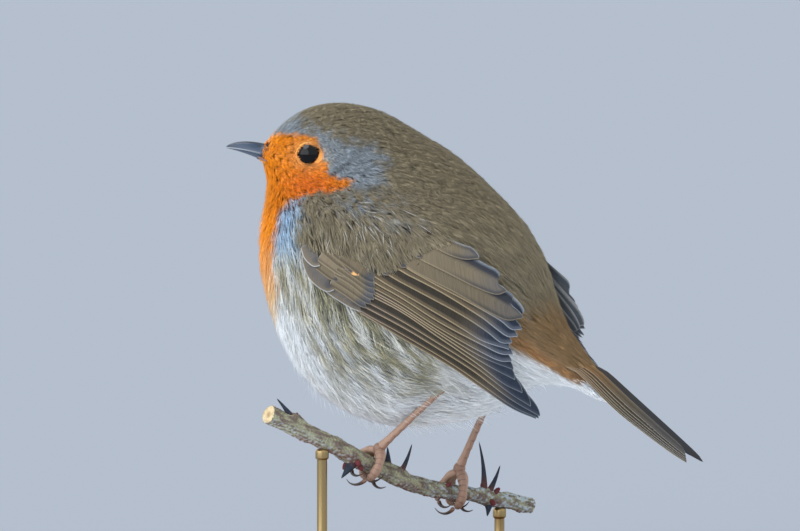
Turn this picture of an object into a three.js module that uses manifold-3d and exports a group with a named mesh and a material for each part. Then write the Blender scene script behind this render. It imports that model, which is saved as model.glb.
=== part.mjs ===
// A European robin at life size, fluffed up on a cut length of thorny twig, on a plain display stand.
// Millimetres, +Z up. The bird faces -X, its right side is +Y, and z = 0 is the underside of the stand's base.
import * as THREE from "three";
import { mergeVertices } from "three/addons/utils/BufferGeometryUtils.js";
import Module from "manifold-3d";

const wasm = await Module();
wasm.setup();

const GAP = 0.3; // clearance between neighbouring pieces

// --- Driving dimensions -------------------------------------------------------------------------------------
// Bird dimensions are in the bird's own frame, whose origin is the middle of the trunk.
const TRUNK_HEIGHT = 68; // middle of the trunk above the underside of the base
const TRUNK_AHEAD = 1; // middle of the trunk ahead of the base's centre

const HEAD_YAW = 26; // degrees, the head is turned to the bird's left
const REAR_PITCH = 38; // degrees, the rump runs down toward the tail
const HEAD_CENTRE = new THREE.Vector3(-19, -5, 34);

const NECK_TILT = 20; // degrees the neck leans forward
const NECK_TOP = 8.5; // the neck's upper and lower ends, below the head's centre along the neck
const NECK_BOTTOM = 15;

const EYE = { forward: 6.9, up: 1, radius: 3.4, sink: 2.9 }; // sink: centre below the plumage around it

const BILL = { forward: 15.2, up: -0.15, length: 12, rise: 15.5, hook: 0.9, halfWidth: 2.4, upper: 2.45, lower: 1.8 };

const WING = { halfSpan: 34.3, crown: 4.7, bowLength: 0.43, bowHeight: 0.436, midX: -7, midZ: -1, proud: 0.6, blend: 3 };
const WING_THICKNESS = { shoulder: 3.2, tip: 0.9, from: -20, to: 36 };
const WING_POSE = {
  left: { raise: 0, fold: 0, back: 0 }, // degrees turned up about the shoulder, degrees the fan is closed, shift
  right: { raise: -5, fold: 12, back: 3 },
};
const FAN = { from: 15, to: 38 }; // the fan closes from here to here, in degrees below the shoulder

const TAIL = { start: [28, 0, -0.2], pitch: 39.5, length: 57, rootHalfWidth: 4.5, halfWidth: 9, notch: 3.5 };
const TAIL_THICKNESS = 1.3;
const TAIL_ROOF = 0.12; // fall of each half of the tail per millimetre from its middle

const THIGH = { hipRadius: 9, lowRadius: 5, below: 3 }; // below: how far its feathers hang past the ankle
const TARSUS = { topRadius: 1.35, shaftRadius: 0.95, footRadius: 1.35 };
const LEGS = {
  left: { hip: [3, -13, -6], ankle: [12.7, -12, -19.2], along: -1.9, turn: -25, lift: 0.5 },
  right: { hip: [6, 12, -5], ankle: [16.9, 9.5, -17.4], along: 23.8, turn: -12, lift: 2 },
};

const PERCH_HEADING = 64.4; // degrees from +X of the twig in plan
const PERCH_RADIUS = { start: 2.45, end: 1.95 };
const PERCH_MIDDLE = [-7, -10]; // plan position of the twig under the left foot
const PERCH_STATIONS = [-32, -15, -3, 12, 28, 48]; // along the twig from that point
const PERCH_LEVELS = [-25.6, -32.6, -38.2, -44.1, -47.1, -50.9]; // its centre line at those stations

const BASE = { radius: 42, height: 7, edge: 2 };
const ROD = { radius: 1.25, socket: 3.5 };
const ROD_STATIONS = [-16, 38]; // where the two rods meet the twig

// --- Helpers ------------------------------------------------------------------------------------------------

/** A solid from a closed three.js geometry. */
function solid(geometry) {
  const bare = geometry.index ? geometry.clone() : mergeVertices(geometry);
  bare.deleteAttribute("normal");
  bare.deleteAttribute("uv");
  const merged = mergeVertices(bare, 1e-4);
  const mesh = new wasm.Mesh({
    numProp: 3,
    vertProperties: new Float32Array(merged.attributes.position.array),
    triVerts: new Uint32Array(merged.index.array),
  });
  return new wasm.Manifold(mesh);
}

/** A closed surface: each vertex of a sphere moves to place(t, angle), where t runs from pole to pole. */
function skin(around, along, place) {
  const geometry = new THREE.SphereGeometry(1, around, along);
  const { position, uv } = geometry.attributes;
  for (let i = 0; i < position.count; i += 1) {
    const p = place(1 - uv.getY(i), uv.getX(i) * 2 * Math.PI);
    position.setXYZ(i, p.x, p.y, p.z);
  }
  return solid(geometry);
}

/** A round-ended limb along a curve, of the radius that radiusAt gives at each t. */
function limb(curve, radiusAt, around, along) {
  return skin(around, along, (t, angle) => {
    const middle = curve.getPoint(t);
    const tangent = curve.getTangent(t);
    const side = new THREE.Vector3(0.3, 1, 0.1).cross(tangent).normalize();
    const other = side.clone().cross(tangent);
    const swell = Math.sqrt(1 - Math.abs(2 * t - 1) ** 6) * radiusAt(t);
    return middle.addScaledVector(side, swell * Math.cos(angle)).addScaledVector(other, swell * Math.sin(angle));
  });
}

/** A thin plate: an outline in x and y, between the surface z = height(x, y) and thickness(x, y) below it. */
function plate(outline, height, thickness, cells, grow = 0) {
  const prism = new THREE.ExtrudeGeometry(outline, {
    depth: 120,
    curveSegments: 4,
    bevelThickness: 1,
    bevelSize: 0,
    bevelOffset: grow,
    bevelSegments: 1,
  }).translate(0, 0, -60);
  const bounds = new THREE.Box2().setFromPoints(outline.getPoints(4)).expandByScalar(2);
  const size = bounds.getSize(new THREE.Vector2());
  const middle = bounds.getCenter(new THREE.Vector2());
  const sheet = new THREE.BoxGeometry(size.x, size.y, 1, cells[0], cells[1], 1);
  const { position } = sheet.attributes;
  for (let i = 0; i < position.count; i += 1) {
    const x = position.getX(i) + middle.x;
    const y = position.getY(i) + middle.y;
    const top = height(x, y) + grow;
    position.setXYZ(i, x, y, position.getZ(i) > 0 ? top : top - thickness(x, y) - 2 * grow);
  }
  return solid(sheet).intersect(solid(prism));
}

/** The two sides of a solid, parted by a plane with the usual gap between them. */
function part(whole, point, normal) {
  const n = normal.clone().normalize();
  const offset = n.dot(point);
  const ahead = whole.trimByPlane(n.toArray(), offset + GAP / 2);
  const behind = whole.trimByPlane(n.clone().negate().toArray(), GAP / 2 - offset);
  return [ahead, behind];
}

/** The largest of the separate bodies of a solid. */
function largest(whole) {
  return whole.decompose().sort((a, b) => b.volume() - a.volume())[0];
}

function named(name, shape, material) {
  const { numProp, vertProperties, triVerts } = shape.getMesh();
  const positions = new Float32Array((vertProperties.length / numProp) * 3);
  for (let i = 0; i < positions.length / 3; i += 1) {
    positions.set(vertProperties.subarray(i * numProp, i * numProp + 3), i * 3);
  }
  const geometry = new THREE.BufferGeometry();
  geometry.setAttribute("position", new THREE.BufferAttribute(positions, 3));
  geometry.setIndex(new THREE.BufferAttribute(new Uint32Array(triVerts), 1));
  geometry.computeVertexNormals();
  const mesh = new THREE.Mesh(geometry, material);
  mesh.name = name;
  return mesh;
}

function finish(color, roughness, metalness = 0) {
  return new THREE.MeshStandardMaterial({ color, roughness, metalness });
}

const radians = THREE.MathUtils.degToRad;
const smooth = (x, from, to) => THREE.MathUtils.smoothstep(x, from, to);
const mix = THREE.MathUtils.lerp;

// --- The bird's body ----------------------------------------------------------------------------------------

/** Unit vectors toward the rear, the right and the top of a lump with this pitch and yaw. */
function axes(pitch, yaw = 0) {
  const [p, y] = [radians(pitch), radians(yaw)];
  return {
    rear: new THREE.Vector3(Math.cos(p) * Math.cos(y), Math.cos(p) * Math.sin(y), -Math.sin(p)),
    right: new THREE.Vector3(-Math.sin(y), Math.cos(y), 0),
    up: new THREE.Vector3(Math.sin(p) * Math.cos(y), Math.sin(p) * Math.sin(y), Math.cos(p)),
  };
}

const headAxes = axes(0, HEAD_YAW);

/** The point this far forward of, to the left of and above the head's centre. */
function headPoint(forward, left, up) {
  return HEAD_CENTRE.clone()
    .addScaledVector(headAxes.rear, -forward)
    .addScaledVector(headAxes.right, -left)
    .addScaledVector(headAxes.up, up);
}

// The plumage's outer form is a smooth union of ellipsoids: centre, half lengths, pitch, yaw and blend width.
const LUMPS = [
  { name: "trunk", centre: new THREE.Vector3(-3, 0, 3), half: [38.5, 28, 31], pitch: 29, yaw: 0, blend: 1 },
  { name: "belly", centre: new THREE.Vector3(-11, 0, -6), half: [25, 25, 21], pitch: 50, yaw: 0, blend: 6 },
  { name: "shoulders", centre: new THREE.Vector3(-12, 0, 16), half: [27, 24, 25.5], pitch: 38, yaw: 0, blend: 8 },
  { name: "rump", centre: new THREE.Vector3(17, 0, -1), half: [25, 14, 6], pitch: 37, yaw: 0, blend: 10 },
  { name: "vent", centre: new THREE.Vector3(34.5, 0, -11), half: [20, 8.5, 3.4], pitch: 36, yaw: 0, blend: 8 },
  { name: "cranium", centre: headPoint(0, 0, 0), half: [17, 14.2, 13], pitch: 0, yaw: HEAD_YAW, blend: 6 },
  { name: "face", centre: headPoint(8.5, 0, 0.5), half: [9.5, 5, 4], pitch: 0, yaw: HEAD_YAW, blend: 5 },
  { name: "throat", centre: headPoint(0.5, 0, -11), half: [11.5, 12, 10.5], pitch: 0, yaw: HEAD_YAW, blend: 8 },
];

/** Roughly the distance from p to a lump's surface, negative inside. */
function lumpDistance(p, { centre, half, pitch, yaw }) {
  const { rear, right, up } = axes(pitch, yaw);
  const from = p.clone().sub(centre);
  const along = [from.dot(rear), from.dot(right), from.dot(up)];
  const scaled = Math.hypot(...along.map((value, i) => value / half[i]));
  const slope = Math.hypot(...along.map((value, i) => value / half[i] ** 2));
  return (scaled * (scaled - 1)) / Math.max(slope, 1e-9);
}

// Behind each thigh the flank feathers end, and the plumage draws in to let the leg out.
const HOLLOWS = [-1, 1].map((sign) => ({
  centre: new THREE.Vector3(16, 21 * sign, -29),
  half: [14, 14.2, 13],
  pitch: 0,
  yaw: 0,
  blend: 5,
}));

/** The smaller of two distances, with the crease where they meet rounded over the blend width. */
function blended(a, b, blend) {
  const share = THREE.MathUtils.clamp(0.5 + (0.5 * (b - a)) / blend, 0, 1);
  return mix(b, a, share) - blend * share * (1 - share);
}

/** Roughly the distance from p to the plumage's outer form, negative inside. */
function bodyDistance(p) {
  const whole = LUMPS.reduce((nearest, lump) => blended(nearest, lumpDistance(p, lump), lump.blend), 1e3);
  return HOLLOWS.reduce((left, hollow) => -blended(-left, lumpDistance(p, hollow), hollow.blend), whole);
}

const SPINE = new THREE.CatmullRomCurve3(
  [headPoint(2, 0, -1), [-12, -1, 20], [0, 0, 4], [22, 0, -4], [38, 0, -13.5]].map((p) =>
    Array.isArray(p) ? new THREE.Vector3(...p) : p,
  ),
  false,
  "catmullrom",
  0.5,
);

/** The plumage's outer form, grown outward by an offset: rays from the spine, stopped where it is reached. */
function bodyForm(around, along, offset = 0) {
  return skin(around, along, (t, angle) => {
    const rearward = smooth(t, 0, 0.75);
    const { rear, right, up } = axes(REAR_PITCH * rearward, HEAD_YAW * (1 - rearward));
    const origin = SPINE.getPoint(THREE.MathUtils.clamp((t - 0.08) / 0.84, 0, 1));
    const direction = rear
      .multiplyScalar(-Math.cos(Math.PI * t))
      .addScaledVector(up, Math.sin(Math.PI * t) * Math.cos(angle))
      .addScaledVector(right, Math.sin(Math.PI * t) * Math.sin(angle));
    let reach = 2;
    for (let step = 0; step < 60; step += 1) {
      const p = origin.clone().addScaledVector(direction, reach);
      reach = Math.max(reach - 0.9 * (bodyDistance(p) - offset), 0.1);
    }
    return origin.addScaledVector(direction, reach);
  });
}

// --- Wings --------------------------------------------------------------------------------------------------

/** How far out from the midline the trunk's own plumage reaches at the point x, z of the side view. */
function flankReach(x, z) {
  let reach = 40;
  for (let step = 0; step < 25; step += 1) {
    reach -= Math.max(0, bodyDistance(new THREE.Vector3(x, -reach, z)));
  }
  return reach;
}

/** How far out the outer face of a folded wing lies: a bowed sheet that rests on the flank where that is wider. */
function wingReach(x, z) {
  const bow = Math.hypot(WING.crown, WING.bowLength * (x - WING.midX), WING.bowHeight * (z - WING.midZ));
  return -blended(bow - WING.halfSpan, -flankReach(x, z) - WING.proud, WING.blend);
}

function wingThickness(x) {
  return mix(WING_THICKNESS.shoulder, WING_THICKNESS.tip, smooth(x, WING_THICKNESS.from, WING_THICKNESS.to));
}

const SHOULDER = new THREE.Vector2(-18, 14);
const WING_TOP = [[-10.4, 24.6], [2.9, 23], [17.1, 16.2]];
const FEATHER_TIPS = [[24.2, 11.5], [30.8, 3.3], [34.6, -2.7], [33.3, -7.2], [32.3, -12], [33.7, -19.9], [37.5, -26]];
const LEADING_EDGE = [[20, -15.4], [6.7, -7.5], [-10.5, 2.6], [-15.5, 5.5], [-19.5, 11.7], [-21.9, 20]];
const COVERT_LINE = [[0.9, 2.8], [13.8, 14.5]]; // where the greater coverts end on the flight feathers
const PRIMARY_LINE = [[0.9, 2.8], [34, -8]]; // where the secondaries lie on the primaries

/** A point of the side view as a wing is held: turned up about the shoulder, its fan closed, and shifted back. */
function held([x, z], { raise, fold, back }) {
  const below = THREE.MathUtils.radToDeg(Math.atan2(SHOULDER.y - z, x - SHOULDER.x));
  const turn = radians(raise + fold * smooth(below, FAN.from, FAN.to));
  return new THREE.Vector2(x, z).rotateAround(SHOULDER, turn).add(new THREE.Vector2(back, 0));
}

/** The side view of a folded wing: top edge, a rounded step at each feather tip, then the leading edge. */
function wingOutline(pose) {
  const start = held(LEADING_EDGE.at(-1), pose);
  const outline = new THREE.Shape().moveTo(start.x, start.y);
  outline.splineThru(WING_TOP.map((p) => held(p, pose)));
  for (const tip of FEATHER_TIPS) {
    const end = held(tip, pose);
    const from = outline.currentPoint.clone();
    outline.quadraticCurveTo(end.x + 0.1, mix(from.y, end.y, 0.35), end.x, end.y);
  }
  outline.splineThru(LEADING_EDGE.map((p) => held(p, pose)));
  return outline;
}

/** A folded wing standing on its side view, for the left side, grown by an optional clearance. */
function wing(pose, grow = 0) {
  const flat = plate(wingOutline(pose), wingReach, wingThickness, [10, 8], grow);
  return flat.rotate([90, 0, 0]);
}

/** The coverts, secondaries and primaries of a wing, parted along the lines where they overlap. */
function wingParts(pose) {
  const cut = ([from, to]) => {
    const [a, b] = [held(from, pose), held(to, pose)];
    return [new THREE.Vector3(a.x, 0, a.y), new THREE.Vector3(a.y - b.y, 0, b.x - a.x)];
  };
  const [coverts, flight] = part(wing(pose), ...cut(COVERT_LINE));
  const [secondaries, primaries] = part(flight, ...cut(PRIMARY_LINE));
  return { coverts, secondaries, primaries };
}

// --- Tail ---------------------------------------------------------------------------------------------------

/** The folded tail from above: straight sides that widen, round corners and a shallow notch. */
function tailOutline() {
  const { length, rootHalfWidth, halfWidth, notch } = TAIL;
  const side = (sign) => [
    [0, sign * rootHalfWidth],
    [length * 0.72, sign * halfWidth],
    [length * 0.9, sign * halfWidth * 0.93],
    [length, sign * halfWidth * 0.68],
    [length - notch, 0],
  ];
  const points = [...side(1), ...side(-1).reverse().slice(1)];
  return new THREE.Shape(points.map(([x, y]) => new THREE.Vector2(x, y)));
}

function tail() {
  const roof = (x, y) => -TAIL_ROOF * Math.abs(y);
  const flat = plate(tailOutline(), roof, () => TAIL_THICKNESS, [4, 6]);
  return flat.rotate([0, TAIL.pitch, 0]).translate(TAIL.start);
}

// --- Head ---------------------------------------------------------------------------------------------------

/** The middle of an eyeball: the given depth below the plumage straight out to its side. */
function eyeCentre(sign) {
  let out = 10;
  for (let step = 0; step < 40; step += 1) {
    out -= bodyDistance(headPoint(EYE.forward, sign * out, EYE.up));
  }
  return headPoint(EYE.forward, sign * (out - EYE.sink), EYE.up);
}

function eyeball(sign, grow = 0) {
  const { x, y, z } = eyeCentre(sign);
  return solid(new THREE.SphereGeometry(EYE.radius + grow, 12, 8)).translate(x, y, z);
}

/** Half of the bill. The mouth line rises, then bends down at the tip; the culmen stays full almost to it. */
function mandible(side) {
  const { forward, up, length, rise, hook, halfWidth, upper, lower } = BILL;
  const { rear, right } = headAxes;
  const ahead = rear.clone().multiplyScalar(-Math.cos(radians(rise)));
  ahead.addScaledVector(headAxes.up, Math.sin(radians(rise)));
  const above = right.clone().cross(ahead);
  return skin(10, 8, (t, angle) => {
    const open = Math.min(1, 6 * t);
    const width = halfWidth * (1 - t) ** 0.85 * open;
    const depth = (side > 0 ? upper * (1 - t ** 2.5) ** 0.6 : lower * (1 - t)) * open;
    const lift = side * (GAP / 2 + Math.max(side * Math.sin(angle), 0) * depth) - hook * t ** 3;
    return headPoint(forward, 0, up)
      .addScaledVector(ahead, length * t)
      .addScaledVector(above, lift)
      .addScaledVector(right, width * Math.cos(angle));
  });
}

// --- Perch, legs and stand ----------------------------------------------------------------------------------

const perchAhead = new THREE.Vector3(Math.cos(radians(PERCH_HEADING)), Math.sin(radians(PERCH_HEADING)), 0);
const PERCH_CURVE = new THREE.CatmullRomCurve3(
  PERCH_STATIONS.map((station, i) =>
    new THREE.Vector3(...PERCH_MIDDLE, PERCH_LEVELS[i]).addScaledVector(perchAhead, station),
  ),
);

/** The point of the twig's centre line at a station, with the tangent and the radius there. */
function perchAt(station) {
  let [low, high] = [0, 1];
  for (let step = 0; step < 30; step += 1) {
    const t = (low + high) / 2;
    const at = PERCH_CURVE.getPoint(t).sub(new THREE.Vector3(...PERCH_MIDDLE, 0)).setZ(0).dot(perchAhead);
    [low, high] = at < station ? [t, high] : [low, t];
  }
  return { point: PERCH_CURVE.getPoint(low), tangent: PERCH_CURVE.getTangent(low), radius: perchRadius(low) };
}

function perchRadius(t) {
  return mix(PERCH_RADIUS.start, PERCH_RADIUS.end, t);
}

/** The point at a turn around the twig: 0 is its top, 90 degrees its front, toward the bird's breast. */
function aroundPerch(station, turn, distance) {
  const { point, tangent, radius } = perchAt(station);
  const front = new THREE.Vector3(0, 0, 1).cross(tangent).normalize();
  const top = tangent.clone().cross(front);
  const reach = radius + distance;
  return point
    .addScaledVector(top, reach * Math.cos(radians(turn)))
    .addScaledVector(front, reach * Math.sin(radians(turn)));
}

function twig(grow = 0) {
  return skin(8, 20, (t, angle) => {
    const s = THREE.MathUtils.clamp((t - 0.06) / 0.88, 0, 1);
    const middle = PERCH_CURVE.getPoint(s);
    const tangent = PERCH_CURVE.getTangent(s);
    const side = new THREE.Vector3(0, 0, 1).cross(tangent).normalize();
    const top = tangent.clone().cross(side);
    const reach = (perchRadius(s) + grow) * Math.min(1, t * 20, (1 - t) * 20);
    return middle.addScaledVector(side, reach * Math.cos(angle)).addScaledVector(top, -reach * Math.sin(angle));
  });
}

// Thorns, spurs and buds: station along the twig, turn around it, lean along it, length and root radius.
const THORNS = [
  { station: -25, turn: -12, lean: -8.5, length: 5, radius: 1 },
  { station: 3.4, turn: 8, lean: -1.5, length: 4.5, radius: 1.2 },
  { station: 7, turn: -12, lean: -0.4, length: 6.8, radius: 0.8 },
  { station: -6.5, turn: -160, lean: -3, length: 3.5, radius: 1.7 },
  { station: 33, turn: -8, lean: -5.5, length: 12, radius: 0.9 },
  { station: 34, turn: -20, lean: 0.4, length: 6.5, radius: 0.9 },
  { station: 34.5, turn: -150, lean: -1.5, length: 3, radius: 1.4 },
];

function thorn({ station, turn, lean, length, radius }) {
  const root = aroundPerch(station, turn, -1.2);
  const tip = aroundPerch(station, turn, length).addScaledVector(perchAhead, lean);
  return limb(new THREE.LineCurve3(root, tip), (t) => mix(radius, 0.3, t), 5, 4);
}

// Toes: turn where each tip ends, spread along the twig at its tip, and radius.
const TOES = {
  inner: { turn: 140, spread: 3.6, radius: 0.8 },
  middle: { turn: 165, spread: 1.3, radius: 0.85 },
  outer: { turn: 148, spread: -3, radius: 0.75 },
  hind: { turn: -140, spread: -0.9, radius: 1 },
};
const PAD_RADIUS = 1.45; // the ball of the foot
const CLAW = { turn: 66, lift: 1.6, radius: 0.5 };

/** The path of a toe or claw round the twig from one turn to another, closing on it from the ball of the foot. */
function toePath({ along, lift }, { spread, radius }, from, to, rise = 0) {
  const points = [0, 1, 2, 3, 4, 5].map((i) => {
    const f = i / 5;
    const share = mix(from.share, to.share, f);
    const clear = GAP + radius + lift * Math.max(0, 1 - 1.6 * share) ** 2 + rise * f;
    return aroundPerch(along + spread * share, mix(from.turn, to.turn, f), clear);
  });
  return new THREE.CatmullRomCurve3(points);
}

function padCentre({ along, turn, lift }) {
  return aroundPerch(along, turn, GAP + PAD_RADIUS + lift);
}

function pad(leg, grow = 0) {
  const { x, y, z } = padCentre(leg);
  return solid(new THREE.SphereGeometry(PAD_RADIUS + grow, 8, 6)).translate(x, y, z);
}

function foot(leg) {
  const toes = Object.values(TOES).map((toe) => {
    const path = toePath(leg, toe, { turn: leg.turn, share: 0 }, { turn: toe.turn, share: 1 });
    return limb(path, (t) => toe.radius * (1.15 - 0.3 * t), 6, 8);
  });
  return toes.reduce((a, b) => a.add(b), pad(leg));
}

function claw(leg, toe) {
  const sign = Math.sign(toe.turn);
  const root = { turn: toe.turn + sign * 9, share: 1 };
  const path = toePath(leg, toe, root, { turn: toe.turn + sign * CLAW.turn, share: 1.1 }, CLAW.lift);
  return limb(path, (t) => CLAW.radius * (1 - 0.7 * t), 6, 6);
}

/** The leg's bare shank from ankle to foot, a little wider at both joints. */
function tarsus(leg, grow = 0) {
  const { topRadius, shaftRadius, footRadius } = TARSUS;
  const path = new THREE.LineCurve3(new THREE.Vector3(...leg.ankle), padCentre(leg));
  const radiusAt = (t) =>
    grow + Math.max(mix(topRadius, shaftRadius, smooth(t, 0, 0.2)), mix(shaftRadius, footRadius, smooth(t, 0.8, 1)));
  return largest(limb(path, radiusAt, 8, 10).subtract(pad(leg, GAP)));
}

/** The feathered thigh, which bulges out of the belly round the top of the shank. */
function thigh(leg, grow = 0) {
  const ankle = new THREE.Vector3(...leg.ankle);
  const direction = padCentre(leg).sub(ankle).normalize();
  const path = new THREE.LineCurve3(new THREE.Vector3(...leg.hip), ankle.addScaledVector(direction, THIGH.below));
  return limb(path, (t) => mix(THIGH.hipRadius, THIGH.lowRadius, t) + grow, 12, 8);
}

/** The base: a turned disc with a rounded upper edge, drilled for the two rods. */
function base() {
  const { radius, height, edge } = BASE;
  const profile = new THREE.Path().moveTo(0, 0);
  profile.lineTo(radius - 0.8, 0);
  profile.lineTo(radius, 0.8);
  profile.lineTo(radius, height - edge);
  profile.absarc(radius - edge, height - edge, edge, 0, Math.PI / 2, false);
  profile.lineTo(0, height);
  return solid(new THREE.LatheGeometry(profile.getPoints(2), 40)).rotate([90, 0, 0]);
}

function rod(station, lowest, grow = 0) {
  const top = perchAt(station).point;
  const length = top.z - lowest;
  const cylinder = new THREE.CylinderGeometry(ROD.radius + grow, ROD.radius + grow, length, 14);
  return solid(cylinder).rotate([90, 0, 0]).translate(top.x, top.y, lowest + length / 2);
}

// --- Assembly -----------------------------------------------------------------------------------------------

const COLOURS = {
  olive: finish("#6f6552", 0.85),
  orange: finish("#d9701e", 0.85),
  brown: finish("#5d5242", 0.8),
  slate: finish("#3c4047", 0.75),
  leg: finish("#8a6455", 0.6),
  horn: finish("#2d3036", 0.4),
  eye: finish("#0b0a0a", 0.1),
  bark: finish("#7a7558", 0.9),
  wood: finish("#8c6a47", 0.55),
  brass: finish("#b59a5c", 0.35, 1),
};

const robin = new THREE.Group();
robin.position.set(-TRUNK_AHEAD, 0, TRUNK_HEIGHT);

const SIDES = { left: (shape) => shape, right: (shape) => shape.mirror([0, 1, 0]) };
const clearance = bodyForm(24, 26, GAP);
const body = Object.entries(SIDES).reduce(
  (rest, [side, onSide]) => rest.subtract(onSide(wing(WING_POSE[side], GAP))),
  bodyForm(24, 26),
);
const neckAxis = new THREE.Vector3(-Math.sin(radians(NECK_TILT)), 0, Math.cos(radians(NECK_TILT)));
const [head, below] = part(body, HEAD_CENTRE.clone().addScaledVector(neckAxis, -NECK_TOP), neckAxis);
const [neck, torso] = part(below, HEAD_CENTRE.clone().addScaledVector(neckAxis, -NECK_BOTTOM), neckAxis);

const sockets = [eyeball(1, GAP), eyeball(-1, GAP)];
robin.add(named("head", largest(sockets.reduce((a, b) => a.subtract(b), head)), COLOURS.orange));
robin.add(named("neck", largest(neck), COLOURS.olive));
robin.add(named("eye_left", eyeball(1), COLOURS.eye));
robin.add(named("eye_right", eyeball(-1), COLOURS.eye));
robin.add(named("bill_upper", largest(mandible(1).subtract(clearance)), COLOURS.horn));
robin.add(named("bill_lower", largest(mandible(-1).subtract(clearance)), COLOURS.horn));
robin.add(named("tail", largest(tail().subtract(clearance)), COLOURS.slate));

let trunk = torso;
for (const [side, onSide] of Object.entries(SIDES)) {
  for (const [feathers, shape] of Object.entries(wingParts(WING_POSE[side]))) {
    const colour = feathers === "coverts" ? COLOURS.brown : COLOURS.slate;
    robin.add(named(`wing_${side}_${feathers}`, largest(onSide(shape)), colour));
  }

  const leg = LEGS[side];
  const feathered = trunk.intersect(thigh(leg)).subtract(tarsus(leg, GAP));
  trunk = trunk.subtract(thigh(leg, GAP)).subtract(tarsus(leg, GAP));
  robin.add(named(`thigh_${side}`, largest(feathered), COLOURS.olive));
  robin.add(named(`tarsus_${side}`, tarsus(leg), COLOURS.leg));
  robin.add(named(`foot_${side}`, foot(leg), COLOURS.leg));
  for (const [toe, shape] of Object.entries(TOES)) {
    robin.add(named(`claw_${side}_${toe}`, claw(leg, shape), COLOURS.horn));
  }
}
robin.add(named("trunk", largest(trunk), COLOURS.olive));

const perch = THORNS.map(thorn).reduce((a, b) => a.add(b), twig());
robin.add(named("perch", perch, COLOURS.bark));

const baseTop = BASE.height - TRUNK_HEIGHT;
let drilled = base().translate(TRUNK_AHEAD, 0, -TRUNK_HEIGHT);
ROD_STATIONS.forEach((station, i) => {
  const lowest = baseTop - ROD.socket;
  drilled = drilled.subtract(rod(station, lowest - GAP, GAP));
  robin.add(named(`stand_rod_${i + 1}`, largest(rod(station, lowest).subtract(twig(GAP))), COLOURS.brass));
});
robin.add(named("stand_base", drilled, COLOURS.wood));

export default robin;
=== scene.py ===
import bpy
import numpy as np
from mathutils import Matrix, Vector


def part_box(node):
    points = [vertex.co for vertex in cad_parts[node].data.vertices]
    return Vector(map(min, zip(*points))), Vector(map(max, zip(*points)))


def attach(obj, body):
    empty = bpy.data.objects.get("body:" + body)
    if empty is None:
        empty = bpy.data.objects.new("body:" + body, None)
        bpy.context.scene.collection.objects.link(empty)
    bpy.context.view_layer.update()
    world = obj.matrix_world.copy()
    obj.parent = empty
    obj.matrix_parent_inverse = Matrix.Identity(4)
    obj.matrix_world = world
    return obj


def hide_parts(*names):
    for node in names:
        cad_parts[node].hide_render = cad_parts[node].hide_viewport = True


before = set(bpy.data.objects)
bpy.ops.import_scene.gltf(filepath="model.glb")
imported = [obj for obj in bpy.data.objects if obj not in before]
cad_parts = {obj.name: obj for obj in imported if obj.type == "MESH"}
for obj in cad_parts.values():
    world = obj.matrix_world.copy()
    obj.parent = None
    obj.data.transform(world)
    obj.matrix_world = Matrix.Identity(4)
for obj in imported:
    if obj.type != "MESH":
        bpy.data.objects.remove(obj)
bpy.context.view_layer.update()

# The plumage's outer form. A robin fluffed up against the cold is a ball of loose feathers, and this is the
# surface that their tips reach. It is in millimetres in the bird's own frame: -X ahead, +Y its right, +Z up.

TRUNK_MIDDLE = np.array([-1.0, 0.0, 68.0])  # the bird's frame in the stand's
HEAD_CENTRE = np.array([-19.0, -5.0, 34.0])
HEAD_YAW = 26.0  # degrees, the head is turned to the bird's left
REAR_PITCH = 38.0  # degrees, the rump runs down toward the tail


def axes(pitch, yaw):
    """Unit vectors to the rear, the right and the top of a shape with this pitch and yaw in degrees."""
    p, y = np.broadcast_arrays(np.radians(pitch), np.radians(yaw))
    rear = np.stack([np.cos(p) * np.cos(y), np.cos(p) * np.sin(y), -np.sin(p)], -1)
    right = np.stack([-np.sin(y), np.cos(y), 0 * y], -1)
    up = np.stack([np.sin(p) * np.cos(y), np.sin(p) * np.sin(y), np.cos(p)], -1)
    return np.stack([rear, right, up], -2)


HEAD_AXES = axes(0.0, HEAD_YAW)


def head_point(forward, left, up):
    """The point this far forward of, to the left of and above the head's centre."""
    return HEAD_CENTRE + np.array([-forward, -left, up]) @ HEAD_AXES


def in_head(points):
    """How far forward of, to the left of and above the head's centre points are."""
    rear, right, up = np.moveaxis((points - HEAD_CENTRE) @ HEAD_AXES.T, -1, 0)
    return -rear, -right, up


# Each lump is an ellipsoid: its centre, half lengths, pitch and yaw, and the width over which it blends.
LUMPS = {
    "trunk": ((-3, 0, 3), (38.5, 28, 31), 29, 0, 1),
    "belly": ((-11, 0, -6), (25, 25, 21), 50, 0, 6),
    "shoulders": ((-12, 0, 16), (27, 24, 25.5), 38, 0, 8),
    "rump": ((17, 0, -1), (25, 14, 6), 37, 0, 10),
    "vent": ((34.5, 0, -11), (20, 8.5, 3.4), 36, 0, 8),
    "cranium": (head_point(0, 0, 0), (17, 14.2, 13), 0, HEAD_YAW, 6),
    "face": (head_point(8.5, 0, 0.5), (9.5, 5, 4), 0, HEAD_YAW, 5),
    "throat": (head_point(0.5, 0, -11), (11.5, 12, 10.5), 0, HEAD_YAW, 8),
}
# Behind each thigh the flank feathers end, and the plumage draws in to let the leg out.
HOLLOWS = [((17.2, 21 * side, -30.3), (13.3, 13.5, 12.4), 0, 0, 5) for side in (-1, 1)]


def lump_distance(points, lump):
    """Roughly the distance to an ellipsoid: its scaled radius less 1, over that radius's slope."""
    centre, half, pitch, yaw, _ = lump
    along = (points - np.array(centre)) @ axes(pitch, yaw).T
    scaled = np.linalg.norm(along / np.array(half), axis=-1)
    slope = np.linalg.norm(along / np.array(half) ** 2, axis=-1)
    return scaled * (scaled - 1) / np.maximum(slope, 1e-9)


def blended(a, b, width):
    """The smaller of two distances, with the crease where they meet rounded over a width."""
    share = np.clip(0.5 + 0.5 * (b - a) / width, 0, 1)
    return b + (a - b) * share - width * share * (1 - share)


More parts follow.
